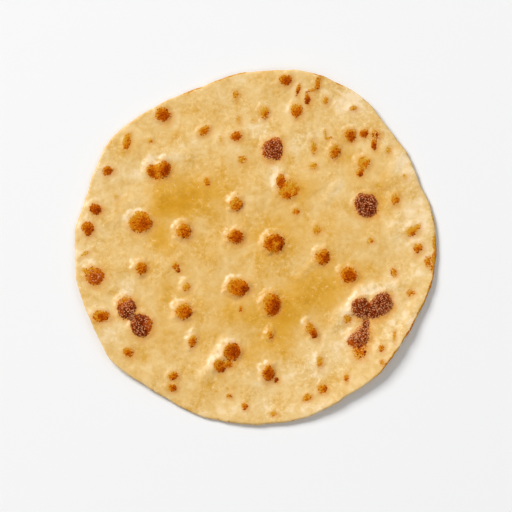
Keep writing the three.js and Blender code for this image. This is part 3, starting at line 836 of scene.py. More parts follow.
def dough_tone(x, y, shape):
    """Tone of the dough: golden in the middle, paler towards the rim, with patches of both, and paler on
    each blister's lit shoulder as painted highlight.
    """
    drift_x = x + layered_noise(x, y, TONE_DRIFT_X)
    drift_y = y + layered_noise(x, y, TONE_DRIFT_Y)
    tone = MIDDLE_TONE + (RIM_TONE - MIDDLE_TONE) * share_of_radius(x, y, shape) ** 2
    tone = tone + patch_sum(GOLDEN_PATCHES, drift_x, drift_y) - patch_sum(PALE_PATCHES, drift_x, drift_y)
    return tone - SHOULDER_HIGHLIGHT * painted_shoulder_highlight(x, y)


# ---- Building the mesh ----------------------------------------------------------------------------


def ring_disc(rings):
    """Points and triangles of a round disc of radius 1, in rings of six more points each."""
    angles = [0.0]
    reaches = [0.0]
    first_of = [0]
    for ring in range(1, rings + 1):
        first_of.append(len(angles))
        for step in range(SECTORS * ring):
            angles.append(360 * step / (SECTORS * ring))
            reaches.append(ring / rings)
    triangles = []
    for ring in range(1, rings + 1):
        inner_count = max(1, SECTORS * (ring - 1))
        outer_count = SECTORS * ring
        for sector in range(SECTORS):
            for step in range(ring):
                outer = sector * ring + step
                inner = sector * (ring - 1) + step
                corner = first_of[ring - 1] + inner % inner_count
                start = first_of[ring] + outer
                end = first_of[ring] + (outer + 1) % outer_count
                triangles.append((corner, start, end))
                if step < ring - 1:
                    next_corner = first_of[ring - 1] + (inner + 1) % inner_count
                    triangles.append((corner, end, next_corner))
    return np.array(angles), np.array(reaches), triangles, first_of[rings]


def edge_place(bearing, share, shape):
    """A place on the rounded edge, from share 0 at the upper face to share 1 at the underside."""
    bulge = RIM_INSET * (1 - math.sin(math.pi * share))
    rim = rim_radius(bearing, shape) - bulge
    crumbled = crumbled_radius(bearing, shape) - bulge
    x, y = place_at(bearing, rim)
    bottom = underside_height(x, y, shape)
    top = top_height(x, y, shape)
    z = bottom + (top - bottom) * (1 + math.cos(math.pi * share)) / 2
    return (*place_at(bearing, crumbled), z)


def stitch(upper, lower):
    """Triangles between two closed rows of as many points, the upper row first."""
    rows = []
    count = len(upper)
    for step in range(count):
        after = (step + 1) % count
        rows.append((upper[step], lower[step], lower[after]))
        rows.append((upper[step], lower[after], upper[after]))
    return rows


def stitch_to_half(fine, coarse):
    """Triangles between a closed row and one below it with half as many points."""
    rows = []
    count = len(coarse)
    for step in range(count):
        after = (step + 1) % count
        middle = fine[2 * step + 1]
        rows.append((fine[2 * step], coarse[step], middle))
        rows.append((coarse[step], coarse[after], middle))
        rows.append((middle, coarse[after], fine[(2 * step + 2) % len(fine)]))
    return rows


def face_disc(rings, shape, start):
    """A face of the bread inside its rounded edge, with its last row of points."""
    angles, reaches, triangles, first_rim = ring_disc(rings)
    crumble = smoothstep(reaches, CRUMBLE_START, 1)
    rim = rim_radius(angles, shape) * (1 - crumble) + crumbled_radius(angles, shape) * crumble
    x, y = place_at(angles, reaches * (rim - RIM_INSET))
    last_row = [start + index for index in range(first_rim, len(angles))]
    return x, y, triangles, last_row


def crust_skin(shape):
    """Points and triangles of the closed skin, with 1 for the upper face and 0 for the underside."""
    top_x, top_y, top_triangles, upper_row = face_disc(UPPER_RINGS, shape, 0)
    columns = [(top_x, top_y, top_height(top_x, top_y, shape), np.ones(len(top_x)))]
    triangles = list(top_triangles)
    bearings = 360 * np.arange(len(upper_row)) / len(upper_row)
    total = len(top_x)
    for band in range(1, EDGE_BANDS + 1):
        share = band / (EDGE_BANDS + 1)
        x, y, z = edge_place(bearings, share, shape)
        row = list(range(total, total + len(x)))
        triangles += stitch(upper_row, row)
        columns.append((x, y, z, np.full(len(x), 1 - share)))
        upper_row = row
        total += len(x)
    under_x, under_y, under_triangles, under_row = face_disc(UNDERSIDE_RINGS, shape, total)
    under_z = underside_height(under_x, under_y, shape)
    columns.append((under_x, under_y, under_z, np.zeros(len(under_x))))
    triangles += stitch_to_half(upper_row, under_row)
    for a, b, c in under_triangles:
        triangles.append((a + total, c + total, b + total))
    x, y, z, upward = (np.concatenate(parts) for parts in zip(*columns))
    return x, y, z, upward, triangles


def crust_mesh(shape):
    """The whole closed skin of the bread, with attributes that say how each place is baked."""
    x, y, z, upward, triangles = crust_skin(shape)
    inward = rim_radius(bearing_of(x, y), shape) - np.hypot(x, y)
    upper_cover, upper_bake, charred, halo = upper_baking(x, y, inward)
    lower_cover, lower_bake = underside_baking(x, y)
    is_upper = smoothstep(upward, *UPPER_FADE)
    z += (1 - np.minimum(1, 2 * upward)) * hollow_height(x, y, lower_cover * lower_bake, shape)

    mesh = bpy.data.meshes.new(NODE + "_crust")
    places = np.stack([x - (x.min() + x.max()) / 2, y - (y.min() + y.max()) / 2, z - z.min()], axis=1) * MM
    mesh.from_pydata(places.tolist(), [], triangles)
    add_attribute(mesh, "cover", upper_cover * is_upper + lower_cover * (1 - is_upper))
    add_attribute(mesh, "bake", upper_bake * is_upper + lower_bake * (1 - is_upper))
    add_attribute(mesh, "charred", charred * is_upper)
    add_attribute(mesh, "halo", halo * is_upper)
    add_attribute(mesh, "tone", dough_tone(x, y, shape) * is_upper + UNDERSIDE_TONE * (1 - is_upper))
    add_attribute(mesh, "upward", upward)
    mesh.polygons.foreach_set("use_smooth", np.ones(len(mesh.polygons), bool))
    mesh.update()
    return mesh


def hollow_height(x, y, browning, shape):
    """Shallow hollows of the underside, which leave its browned places lowest."""
    lumps = 0.5 + layered_noise(x, y, HOLLOW_LUMPS)
    depth = HOLLOW_DEPTH * lumps * (1 - smoothstep(browning, *HOLLOW_BROWNING))
    return depth * (1 - smoothstep(share_of_radius(x, y, shape), HOLLOW_END, 1))


def add_attribute(mesh, name, values):
    """Gives every point of a mesh a number."""
    attribute = mesh.attributes.new(name, "FLOAT", "POINT")
    attribute.data.foreach_set("value", np.asarray(values, np.float32))


# ---- Node trees -----------------------------------------------------------------------------------


class Signal:
    """An output socket that can be added, subtracted, multiplied and divided."""

    def __init__(self, board, socket):
        self.board = board
        self.socket = socket

    def combined(self, operation, other, swapped=False):
        """This signal and another one, or a number, through a Math node."""
        first, second = (other, self) if swapped else (self, other)
        return self.board.node("ShaderNodeMath", {"operation": operation}, {0: first, 1: second})

    def __add__(self, other):
        return self.combined("ADD", other)

    def __radd__(self, other):
        return self.combined("ADD", other, swapped=True)

    def __sub__(self, other):
        return self.combined("SUBTRACT", other)

    def __rsub__(self, other):
        return self.combined("SUBTRACT", other, swapped=True)

    def __mul__(self, other):
        return self.combined("MULTIPLY", other)

    def __rmul__(self, other):
        return self.combined("MULTIPLY", other, swapped=True)

    def __truediv__(self, other):
        return self.combined("DIVIDE", other)

    def __rtruediv__(self, other):
        return self.combined("DIVIDE", other, swapped=True)

    def beside(self, output):
        """Another output of the same node."""
        return Signal(self.board, self.socket.node.outputs[output])

    def between(self, start, end):
        """0 below start, 1 above end and a soft rise between them."""
        settings = {"interpolation_type": "SMOOTHSTEP"}
        sockets = {"Value": self, "From Min": start, "From Max": end, "To Min": 0.0, "To Max": 1.0}
        return self.board.node("ShaderNodeMapRange", settings, sockets)


class NodeBoard:
    """Adds nodes to one shader or geometry tree."""

    def __init__(self, tree):
        self.tree = tree

    def node(self, kind, settings=None, sockets=None, output=0):
        """Adds a node with its settings, then its socket values or links, and returns one output."""
        added = self.tree.nodes.new(kind)
        for name, value in (settings or {}).items():
            if name == "stops":
                self.fill_ramp(added.color_ramp, value)
            else:
                setattr(added, name, value)
        for key, value in (sockets or {}).items():
            if isinstance(value, Signal):
                self.tree.links.new(value.socket, added.inputs[key])
            else:
                added.inputs[key].default_value = value
        return Signal(self, added.outputs[output]) if len(added.outputs) else None

    def fill_ramp(self, ramp, stops):
        """Gives a ramp its stops: position, colour."""
        while len(ramp.elements) > 1:
            ramp.elements.remove(ramp.elements[-1])
        ramp.elements[0].position = stops[0][0]
        ramp.elements[0].color = stops[0][1]
        for position, colour in stops[1:]:
            ramp.elements.new(position).color = colour

    def place(self):
        """Coordinates of the piece itself."""
        return self.node("ShaderNodeTexCoord", output="Object")

    def attribute(self, name):
        """A number that the mesh holds at every point."""
        settings = {"attribute_type": "GEOMETRY", "attribute_name": name}
        return self.node("ShaderNodeAttribute", settings, output="Fac")

    def noise(self, place, size, detail=2.0, roughness=0.5, distortion=0.0):
        """Noise between 0 and 1 whose lumps are about as wide as size, in metres."""
        sockets = {
            "Vector": place,
            "Scale": 1 / size,
            "Detail": detail,
            "Roughness": roughness,
            "Distortion": distortion,
        }
        return self.node("ShaderNodeTexNoise", {"noise_dimensions": "3D"}, sockets)

    def mix(self, share, first, second):
        """A colour between two colours."""
        settings = {"data_type": "RGBA", "blend_type": "MIX", "clamp_factor": True}
        return self.node("ShaderNodeMix", settings, {0: share, 6: first, 7: second}, output=2)

    def scaled(self, vector, scale):
        """A vector or a colour times a number."""
        return self.node("ShaderNodeVectorMath", {"operation": "SCALE"}, {"Vector": vector, "Scale": scale})

    def coat(self, colour, roughness, shine=0.5, normal=None):
        """A shader with a colour, a roughness and a constant shine."""
        sockets = {"Base Color": colour, "Roughness": roughness, "Specular IOR Level": shine}
        if normal is not None:
            sockets["Normal"] = normal
        return self.node("ShaderNodeBsdfPrincipled", None, sockets)

    def show(self, shader):
        """Makes a shader the material's surface."""
        self.node("ShaderNodeOutputMaterial", None, {"Surface": shader})


def new_material(name):
    """An empty node material and the board that fills it."""
    material = bpy.data.materials.new(name)
    material.use_nodes = True
    material.node_tree.nodes.clear()
    return material, NodeBoard(material.node_tree)


def linear(red, green, blue):
    """Scene-linear colour of screen values from 0 to 255."""
    channels = []
    for value in (red, green, blue):
        share = value / 255
        channels.append(share / 12.92 if share <= 0.04045 else ((share + 0.055) / 1.055) ** 2.4)
    return tuple(channels)


def opaque(colour):
    """A colour with full cover."""
    return (*colour[:3], 1.0)


# ---- Materials ------------------------------------------------------------------------------------


# Sizes of the crust's patterns, from clouds of tone to grit, and the depth of their bump.
CLOUD_SIZE = 11 * MM
MOTTLE_SIZE = 4.2 * MM
DAB_SIZE = 2.2 * MM
GRAIN_SIZE = 0.9 * MM
GRIT_SIZE = 0.55 * MM
BUMP_DEPTH = 0.35 * MM

# Sizes of the patterns of the crumbs, the bran and the floor.
CRUMB_GRIT_SIZE = 0.4 * MM
BRAN_GRIT_SIZE = 0.5 * MM
FLOOR_CLOUD_SIZE = 300 * MM

# Shine of dough with ghee and of dry browned skin.
DOUGH_SHINE = 0.28
DRY_SHINE = 0.02

# How far ash covers a charred grain, and how far the golden browning and painted shade round a spot cover
# the dough.
ASH_COVER = 0.85
HALO_COVER = 0.88


def dough_colour(board, tone):
    """Colour of plain dough, from pale and floury to deep golden with ghee."""
    stops = (
        # The pale end is also reached on the blisters' lit shoulders, as painted highlight.
        (0.0, opaque(linear(250, 222, 176))),
        (0.25, opaque(linear(239, 202, 136))),
        (0.5, opaque(linear(232, 186, 106))),
        (0.75, opaque(linear(225, 168, 62))),
        (1.0, opaque(linear(213, 150, 26))),
    )
    return board.node("ShaderNodeValToRGB", {"stops": stops}, {"Fac": tone})


def baked_colour(board, level):
    """Colour of a browned spot, from barely golden to charred."""
    stops = (
        (0.1, opaque(linear(226, 182, 84))),
        (0.26, opaque(linear(214, 156, 46))),
        (0.38, opaque(linear(214, 140, 24))),
        (0.52, opaque(linear(208, 116, 10))),
        (0.64, opaque(linear(194, 92, 2))),
        (0.74, opaque(linear(172, 70, 0))),
        (0.86, opaque(linear(138, 45, 0))),
        (1.0, opaque(linear(96, 30, 4))),
    )
    return board.node("ShaderNodeValToRGB", {"stops": stops}, {"Fac": level})


def grain_draw(board, place, size):
    """A value from 0 to 1 drawn for each grain about as wide as size, in metres."""
    sockets = {"Vector": place, "Scale": 1 / size}
    cells = board.node("ShaderNodeTexVoronoi", {"feature": "F1"}, sockets, "Color")
    return board.node("ShaderNodeSeparateColor", None, {0: cells})


def soft_dough(board, colours, clouds, mottle, dabs, grain, normal):
    """Cream and golden dough, cloudy and mottled, with flecks and glints of painted highlight and a golden
    ring round each spot, shifted to its lower right as painted shade.
    """
    given_tone = board.attribute("tone")
    halo = board.attribute("halo")
    cloudy = clouds.between(0.42, 0.62)
    rough = 0.14 + cloudy * 1.1
    fine = (dabs - 0.5) * rough
    finest = (grain - 0.5) * rough
    unevenness = (clouds - 0.5) * 1.15 + (mottle - 0.5) * 0.95 + fine * 0.7 + finest * 0.2
    tone = given_tone + unevenness * (1.2 - given_tone)

    # Painted highlight: sparks and flecks of light on the fine wrinkles, mixed towards the glint colour.
    sparks = grain.between(0.6, 0.7) * rough * (1.25 - given_tone)
    flecks = (1 - dabs).between(0.56, 0.72) * cloudy
    dough = board.mix(flecks * 0.3 + sparks * 0.3, dough_colour(board, tone), opaque(colours.painted_glint))
    # Golden browning round each spot, with painted shade on its lower right.
    dough = board.mix(halo * HALO_COVER, dough, opaque(colours.halo))
    shade = 1.09 - clouds * 0.06 - mottle * 0.12 - fine * 0.26 - finest * 0.26
    roughness = 0.42 - given_tone * 0.1 + (mottle - 0.5) * 0.3
    return board.coat(board.scaled(dough, shade), roughness, DOUGH_SHINE, normal)


def crisp_skin(board, colours, cover, bake, charred, grain, grit, normal):
    """Dry browned skin, grainy where it is weakly baked or dusted, with ash where it is charred."""
    speckle = bake.between(0.2, 0.45) - bake.between(0.5, 0.75) * 0.6
    toasted = bake.between(0.35, 0.5) * (1 - bake.between(0.6, 0.76))
    dusted = cover.between(0.4, 0.6) * (1 - cover.between(0.7, 0.9))
    gritty = 0.15 + charred * 0.15 + toasted * 0.15 + dusted * 0.4
    level = bake + (grain - 0.5) * speckle + (grit - 0.5) * gritty
    ash = grit.between(0.64, 0.84) * charred * ASH_COVER
    baked = board.mix(ash, baked_colour(board, level), opaque(colours.ash))
    return board.coat(baked, 0.7, DRY_SHINE, normal)


def crust_material(colours):
    """Soft dough in cream and gold, with grainy browned spots."""
    material, board = new_material("crust")
    place = board.place()
    clouds = board.noise(place, CLOUD_SIZE, 3.0, 0.55)
    mottle = board.noise(place, MOTTLE_SIZE, 3.0, 0.6, 0.6)
    dabs = board.noise(place, DAB_SIZE, 3.0, 0.65, 0.4)
    grain = board.noise(place, GRAIN_SIZE, 2.0, 0.6)
    grit = grain_draw(board, place, GRIT_SIZE)
    cover = board.attribute("cover")
    bake = board.attribute("bake")
    charred = board.attribute("charred")

    height = dabs * 0.6 + mottle * 0.5 + grain * (0.3 + cover * 0.7) + grit * cover * 0.2
    normal = board.node("ShaderNodeBump", None, {"Strength": 0.6, "Distance": BUMP_DEPTH, "Height": height})
    dough = soft_dough(board, colours, clouds, mottle, dabs, grain, normal)
    skin = crisp_skin(board, colours, cover, bake, charred, grain, grit, normal)

    fraying = (grain - 0.5) * 0.6 + (grit - 0.5) * (bake.between(0.1, 0.6) * 0.4 + charred * 0.3)
    frayed = (cover + fraying).between(0.25, 0.75)
    board.show(board.node("ShaderNodeMixShader", None, {0: frayed, 1: dough, 2: skin}))
    return material


def crumb_material(colours):
    """Browned and charred crumbs that stand out of the spots."""
    material, board = new_material("charred crumb")
    draw = board.attribute("draw")
    bake = board.attribute("bake")
    charred = board.attribute("charred")
    grit = board.noise(board.place(), CRUMB_GRIT_SIZE)
    level = bake + (draw - 0.6) * 0.6 * bake.between(0.5, 0.85) + (grit - 0.5) * 0.2
    ash = (1 - draw).between(0.76, 0.86) * charred * ASH_COVER
    colour = board.mix(ash, baked_colour(board, level), opaque(colours.ash))
    board.show(board.coat(colour, 0.7 + (grit - 0.5) * 0.3, DRY_SHINE))
    return material


def bran_material(colours):
    """Thin flecks of bran in the dough."""
    material, board = new_material("bran")
    draw = board.attribute("draw")
    grit = board.noise(board.place(), BRAN_GRIT_SIZE)
    colour = board.mix(draw * 0.7 + grit * 0.3, opaque(colours.pale_bran), opaque(colours.dark_bran))
    board.show(board.coat(colour, 0.55 + (grit - 0.5) * 0.2))
    return material


def floor_material(colours):
    """Plain pale matte floor."""
    material, board = new_material("plain floor")
    cloud = board.noise(board.place(), FLOOR_CLOUD_SIZE)
    board.show(board.coat(opaque(colours.floor), 0.7 + cloud * 0.1))
    return material


# ---- Geometry Nodes -------------------------------------------------------------------------------


def new_geometry_tree(name, inputs):
    """A geometry tree with named float and integer inputs; returns the board and its signals."""
    tree = bpy.data.node_groups.new(name, "GeometryNodeTree")
    tree.interface.new_socket(name="Geometry", in_out="INPUT", socket_type="NodeSocketGeometry")
    tree.interface.new_socket(name="Geometry", in_out="OUTPUT", socket_type="NodeSocketGeometry")
    for title, value in inputs.items():
        kind = "NodeSocketInt" if isinstance(value, int) else "NodeSocketFloat"
        socket = tree.interface.new_socket(name=title, in_out="INPUT", socket_type=kind)
        socket.default_value = value
    board = NodeBoard(tree)
    entry = board.node("NodeGroupInput")
    signals = {title: entry.beside(title) for title in ("Geometry", *inputs)}
    return board, signals


def close_geometry_tree(board, geometry, material):
    """Ends a tree in real geometry with its material."""
    realized = board.node("GeometryNodeRealizeInstances", None, {"Geometry": geometry})
    finished = board.node("GeometryNodeSetMaterial", None, {"Geometry": realized, "Material": material})
    board.node("NodeGroupOutput", None, {"Geometry": finished})


def named_value(board, name):
    """A number that the mesh holds at every point."""
    settings = {"data_type": "FLOAT"}
    return board.node("GeometryNodeInputNamedAttribute", settings, {"Name": name}, output="Attribute")


def relief_tree(material, values):
    """Fine wrinkles of the dough and the crumbled skin of its browned spots."""
    board, given = new_geometry_tree("Crust relief", values)
    place = board.node("GeometryNodeInputPosition")
    outward = board.node("GeometryNodeInputNormal")
    cover = named_value(board, "cover")
    upward = named_value(board, "upward")

    def relief(name, detail, distortion=0.0):
        lumps = board.noise(place, given[name + " size"], detail, distortion=distortion) - 0.5
        return lumps * given[name + " depth"]

    wrinkles = relief("Wrinkle", 2.0, 0.6)
    grain = relief("Grain", 2.0, 0.3)
    crumble = relief("Crumble", 1.0) * cover.between(0.3, 0.7)
    height = (wrinkles + grain + crumble) * upward.between(0.1, 0.9)
    sockets = {"Geometry": given["Geometry"], "Offset": board.scaled(outward, height)}
    moved = board.node("GeometryNodeSetPosition", None, sockets)
    close_geometry_tree(board, moved, material)
    return board.tree


def scatter_tree(name, material, values):
    """Small rounded bits in the surface, from the cover where they start to where they are dense."""
    board, given = new_geometry_tree(name, values)
    amount = named_value(board, "cover").between(given["Cover at start"], given["Cover when dense"])
    amount = amount * named_value(board, "bake").between(given["Bake at start"], given["Bake when dense"])
    upward = named_value(board, "upward").between(0.5, 0.9)
    density = given["Bits per square metre"] * amount * upward
    sockets = {"Mesh": given["Geometry"], "Density": density, "Seed": given["Seed"]}
    points = board.node("GeometryNodeDistributePointsOnFaces", None, sockets, "Points")
    outward = points.beside("Normal")
    standing = points.beside("Rotation")

    def random(low, high, offset):
        sockets = {2: low, 3: high, "Seed": given["Seed"] + offset}
        return board.node("FunctionNodeRandomValue", {"data_type": "FLOAT"}, sockets, 1)

    settings = {"data_type": "FLOAT", "domain": "POINT"}
    sockets = {"Geometry": points, "Name": "draw", "Value": random(0.0, 1.0, 1)}
    points = board.node("GeometryNodeStoreNamedAttribute", settings, sockets)
    size = random(given["Smallest"], given["Largest"], 2)
    sinking = board.scaled(outward, size * -1.0 * given["Sunk"])
    points = board.node("GeometryNodeSetPosition", None, {"Geometry": points, "Offset": sinking})

    spin = board.node("ShaderNodeCombineXYZ", None, {"Z": random(0.0, 2 * math.pi, 3)})
    spin = board.node("FunctionNodeEulerToRotation", None, {"Euler": spin})
    sockets = {"Rotation": standing, "Rotate By": spin}
    rotation = board.node("FunctionNodeRotateRotation", {"rotation_space": "LOCAL"}, sockets)
    sockets = {"X": size, "Y": size * random(given["Narrowest"], 1.0, 4), "Z": size * given["Flatness"]}
    proportions = board.node("ShaderNodeCombineXYZ", None, sockets)
    bit = board.node("GeometryNodeMeshIcoSphere", None, {"Radius": 0.5, "Subdivisions": 1})
    sockets = {"Points": points, "Instance": bit, "Rotation": rotation, "Scale": proportions}
    close_geometry_tree(board, board.node("GeometryNodeInstanceOnPoints", None, sockets), material)
    return board.tree


def apply_tree(context, holder, tree, values):
    """Runs a geometry tree on an object and leaves its result as a plain mesh."""
    modifier = holder.modifiers.new(tree.name, "NODES")
    modifier.node_group = tree
    for item in tree.interface.items_tree:
        if item.item_type == "SOCKET" and item.in_out == "INPUT" and item.name in values:
            modifier[item.identifier] = values[item.name]
    depsgraph = context.evaluated_depsgraph_get()
    evaluated = holder.evaluated_get(depsgraph)
    result = bpy.data.meshes.new_from_object(evaluated, preserve_all_data_layers=True, depsgraph=depsgraph)
    holder.modifiers.clear()
    spent = holder.data
    holder.data = result
    bpy.data.meshes.remove(spent)
    result.name = holder.name
    if not result.polygons:
        raise RuntimeError(f"{tree.name} made no faces")


def new_piece(name, mesh):
    """An object for a mesh, in the scene."""
    piece = bpy.data.objects.new(name, mesh)
    bpy.context.scene.collection.objects.link(piece)
    return piece


# ---- Sizes and colours a user may change ----------------------------------------------------------


class ChapatiShape(bpy.types.PropertyGroup):
    """Sizes of the bread."""

    mean_radius: FloatProperty(
        name="Mean radius",
        description="Radius of the rolled round before its lobes",
        default=89.6 * MM,
        min=60 * MM,
        max=120 * MM,
        unit="LENGTH",
    )
    thickness: FloatProperty(
        name="Thickness",
        description="Thickness of the dough in the middle",
        default=2.1 * MM,
        min=1 * MM,
        max=6 * MM,
        unit="LENGTH",
    )
    blister_rise: FloatProperty(
        name="Blister rise",
        description="Scale of how far the blisters stand up",
        default=1.0,
        min=0.0,
        max=2.0,
        subtype="FACTOR",
    )
    curl: FloatProperty(
        name="Rim curl",
        description="Scale of how far the rim curls up",
        default=1.0,
        min=0.0,
        max=2.0,
        subtype="FACTOR",
    )
    wrinkle_depth: FloatProperty(
        name="Wrinkle depth",
        description="Depth of the soft wrinkles of the upper face",
        default=0.4 * MM,
        min=0.0,
        max=1 * MM,
        unit="LENGTH",
    )
    wrinkle_size: FloatProperty(
        name="Wrinkle size",
        description="Distance between soft wrinkles",
        default=4.5 * MM,
        min=1 * MM,
        max=20 * MM,
        unit="LENGTH",
    )


class ChapatiCrumbs(bpy.types.PropertyGroup):
    """Amounts of crumbs and flecks."""

    crumbs_per_square_cm: FloatProperty(
        name="Crumbs per square cm",
        description="Charred crumbs on a fully browned spot",
        default=210.0,
        min=0.0,
        max=600.0,
    )
    flecks_per_square_cm: FloatProperty(
        name="Flecks per square cm",
        description="Bran flecks on the plain dough",
        default=2.5,
        min=0.0,
        max=40.0,
    )
    seed: IntProperty(
        name="Seed",
        description="Start of the random draws",
        default=7,
        min=0,
    )


# What all colour settings have in common.
SWATCH = {"subtype": "COLOR", "min": 0.0, "max": 1.0}


class ChapatiColours(bpy.types.PropertyGroup):
    """Colours of the bread and its floor."""

    # Colour of the painted highlight: glints of light on the fine wrinkles.
    painted_glint: FloatVectorProperty(
        name="Wisp", description="Pale wisps of dry skin", default=linear(248, 224, 176), **SWATCH
    )
    # Colour of the golden browning round a spot, which is also its painted shade on the lower right.
    halo: FloatVectorProperty(
        name="Halo", description="Dough round a browned spot", default=linear(224, 152, 62), **SWATCH
    )
    ash: FloatVectorProperty(
        name="Ash", description="Pale crumbs of charred skin", default=linear(224, 154, 104), **SWATCH
    )
    pale_bran: FloatVectorProperty(
        name="Pale bran", description="Lightest bran", default=linear(238, 204, 146), **SWATCH
    )
    dark_bran: FloatVectorProperty(
        name="Dark bran", description="Darkest bran", default=linear(210, 160, 88), **SWATCH
    )
    floor: FloatVectorProperty(
        name="Floor", description="Pale floor", default=(0.93, 0.93, 0.93), **SWATCH
    )


# ---- Operators ------------------------------------------------------------------------------------

SQUARE_CM_PER_SQUARE_METRE = 10000

# The bran's seed is this much higher than the crumbs' seed.
BRAN_SEED_STEP = 100


class CHAPATI_OT_crust(bpy.types.Operator):
    """Bakes the bread itself, in the place of its plain solid"""

    bl_idname = "chapati.crust"
    bl_label = "Bake the crust"

    def execute(self, context):
        shape = context.scene.chapati_shape
        material = crust_material(context.scene.chapati_colours)
        piece = new_piece("chapati_crust", crust_mesh(shape))
        values = {
            "Wrinkle depth": shape.wrinkle_depth,
            "Wrinkle size": shape.wrinkle_size,
            "Grain depth": 0.1 * MM,
            "Grain size": 1.6 * MM,
            "Crumble depth": 0.35 * MM,
            "Crumble size": 1.3 * MM,
        }
        apply_tree(context, piece, relief_tree(material, values), values)
        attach(piece, BODY)
        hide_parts(NODE)
        return {"FINISHED"}


class CHAPATI_OT_crumbs(bpy.types.Operator):
    """Scatters browned and charred crumbs over the spots"""

    bl_idname = "chapati.crumbs"
    bl_label = "Scatter charred crumbs"

    def execute(self, context):
        crumbs = context.scene.chapati_crumbs
        material = crumb_material(context.scene.chapati_colours)
        values = {
            "Bits per square metre": crumbs.crumbs_per_square_cm * SQUARE_CM_PER_SQUARE_METRE,
            "Seed": crumbs.seed,
            "Smallest": 0.35 * MM,
            "Largest": 0.8 * MM,
            "Narrowest": 0.6,
            "Flatness": 0.6,
            "Sunk": 0.12,
            "Cover at start": 0.05,
            "Cover when dense": 0.9,
            "Bake at start": 0.7,
            "Bake when dense": 0.98,
        }
        tree = scatter_tree("Charred crumbs", material, values)
        scatter_piece(context, "charred_crumbs", tree, values)
        return {"FINISHED"}


class CHAPATI_OT_bran(bpy.types.Operator):
    """Scatters thin flecks of bran over the dough"""

    bl_idname = "chapati.bran"
    bl_label = "Scatter bran flecks"

    def execute(self, context):
        crumbs = context.scene.chapati_crumbs
        material = bran_material(context.scene.chapati_colours)
        values = {
            "Bits per square metre": crumbs.flecks_per_square_cm * SQUARE_CM_PER_SQUARE_METRE,
            "Seed": crumbs.seed + BRAN_SEED_STEP,
            "Smallest": 0.35 * MM,
            "Largest": 0.9 * MM,
            "Narrowest": 0.35,
            "Flatness": 0.16,
            "Sunk": 0.02,
            "Cover at start": 0.4,
            "Cover when dense": 0.05,
            "Bake at start": -1.0,
            "Bake when dense": -0.5,
        }
        tree = scatter_tree("Bran flecks", material, values)
        scatter_piece(context, "bran_flecks", tree, values)
        return {"FINISHED"}


def scatter_piece(context, name, tree, values):
    """Scatters small bits over the finished crust, as a piece of its own."""
    crust = bpy.data.objects.get("chapati_crust")
    if crust is None:
        raise RuntimeError("bake the crust first")
    piece = new_piece(name, crust.data.copy())
    apply_tree(context, piece, tree, values)
    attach(piece, BODY)


class CHAPATI_OT_stage(bpy.types.Operator):
    """Sets up a pale floor, soft studio light and the camera"""

    bl_idname = "chapati.stage"
    bl_label = "Set the stage"

    def execute(self, context):
        lay_floor(context)
        hang_lights(context)
        set_camera(context)
        context.scene.view_settings.view_transform = "Standard"
        return {"FINISHED"}


# Half the width of the floor, in metres.
FLOOR_HALF = 3.0


def lay_floor(context):
    """Lays the floor under the bread."""
    mesh = bpy.data.meshes.new("floor")
    corners = [(x * FLOOR_HALF, y * FLOOR_HALF, CAD_LOW.z) for x, y in ((-1, -1), (1, -1), (1, 1), (-1, 1))]
    mesh.from_pydata(corners, [], [(0, 1, 2, 3)])
    mesh.materials.append(floor_material(context.scene.chapati_colours))
    new_piece("floor", mesh)


def direction(azimuth, elevation):
    """Unit vector towards a bearing, in degrees anticlockwise from +X, and a height angle."""
    flat = math.cos(math.radians(elevation))
    side = math.radians(azimuth)
    return Vector((flat * math.cos(side), flat * math.sin(side), math.sin(math.radians(elevation))))


def aim_at(thing, target):
    """Turns a lamp or a camera towards a place."""
    thing.rotation_euler = (target - thing.location).to_track_quat("-Z", "Y").to_euler()


# Softboxes: name, bearing, height angle, distance in metres, side in metres, and the light that each
# gives to a level white sheet.
SOFTBOXES = (
    ("key light", 138, 40, 5, 2.2, 0.65),
    ("right fill", -35, 48, 2.6, 2.2, 0.18),
    ("back fill", 50, 42, 2.6, 1.8, 0.08),
    ("front fill", -125, 42, 2.6, 1.8, 0.08),
)
WORLD_COLOUR = (1.0, 1.0, 1.0, 1.0)
WORLD_STRENGTH = 0.09


def hang_lights(context):
    """Hangs the softboxes and lights the surround."""
    middle = (CAD_LOW + CAD_HIGH) / 2
    for name, bearing, height, distance, side, level in SOFTBOXES:
        light = bpy.data.lights.new(name, "AREA")
        light.shape = "SQUARE"
        light.size = side
        light.energy = level * (math.pi * distance) ** 2 / math.sin(math.radians(height))
        lamp = bpy.data.objects.new(name, light)
        context.scene.collection.objects.link(lamp)
        lamp.location = middle + distance * direction(bearing, height)
        aim_at(lamp, middle)
    world = bpy.data.worlds.new("soft surround")
    world.use_nodes = True
    background = world.node_tree.nodes["Background"]
    background.inputs["Color"].default_value = WORLD_COLOUR
    background.inputs["Strength"].default_value = WORLD_STRENGTH
    context.scene.world = world


# A long lens, the width it sees at the bread, the height angle it looks from and the place it looks at.
LENS = 600
SENSOR = 36
VIEW_WIDTH = 256 * MM
VIEW_HEIGHT_ANGLE = 80
VIEW_TARGET = Vector((0.2, -4.6, 2.0)) * MM


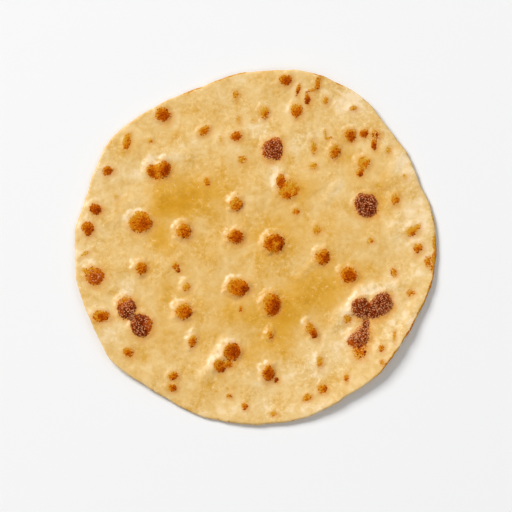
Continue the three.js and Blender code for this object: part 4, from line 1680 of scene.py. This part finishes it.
def set_camera(context):
    """Sets up the camera in front of the bread, looking down at it."""
    camera = bpy.data.cameras.new("camera")
    camera.lens = LENS
    camera.sensor_width = SENSOR
    stand = bpy.data.objects.new("camera", camera)
    context.scene.collection.objects.link(stand)
    distance = VIEW_WIDTH * LENS / SENSOR
    stand.location = VIEW_TARGET + distance * direction(-90, VIEW_HEIGHT_ANGLE)
    aim_at(stand, VIEW_TARGET)
    context.scene.camera = stand


class CHAPATI_PT_sidebar(bpy.types.Panel):
    """Lists the steps and sizes of the bread"""

    bl_idname = "CHAPATI_PT_sidebar"
    bl_label = "Chapati Flatbread"
    bl_space_type = "VIEW_3D"
    bl_region_type = "UI"
    bl_category = "Chapati"

    def draw(self, context):
        scene = context.scene
        for group in (scene.chapati_shape, scene.chapati_crumbs, scene.chapati_colours):
            box = self.layout.box()
            for name in group.__annotations__:
                box.prop(group, name)
        for operator in OPERATORS:
            self.layout.operator(operator.bl_idname)


PROPERTY_GROUPS = (ChapatiShape, ChapatiCrumbs, ChapatiColours)
OPERATORS = (CHAPATI_OT_crust, CHAPATI_OT_crumbs, CHAPATI_OT_bran, CHAPATI_OT_stage)
CLASSES = (*PROPERTY_GROUPS, *OPERATORS, CHAPATI_PT_sidebar)


def register():
    """Makes the classes and their settings known."""
    for entry in CLASSES:
        bpy.utils.register_class(entry)
    bpy.types.Scene.chapati_shape = PointerProperty(type=ChapatiShape)
    bpy.types.Scene.chapati_crumbs = PointerProperty(type=ChapatiCrumbs)
    bpy.types.Scene.chapati_colours = PointerProperty(type=ChapatiColours)


def unregister():
    """Takes the classes and their settings out again."""
    del bpy.types.Scene.chapati_colours
    del bpy.types.Scene.chapati_crumbs
    del bpy.types.Scene.chapati_shape
    for entry in reversed(CLASSES):
        bpy.utils.unregister_class(entry)


def main():
    """Builds the bread and its stage."""
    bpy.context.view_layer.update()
    register()
    bpy.ops.chapati.crust()
    bpy.ops.chapati.crumbs()
    bpy.ops.chapati.bran()
    bpy.ops.chapati.stage()


if __name__ == "__main__":
    main()
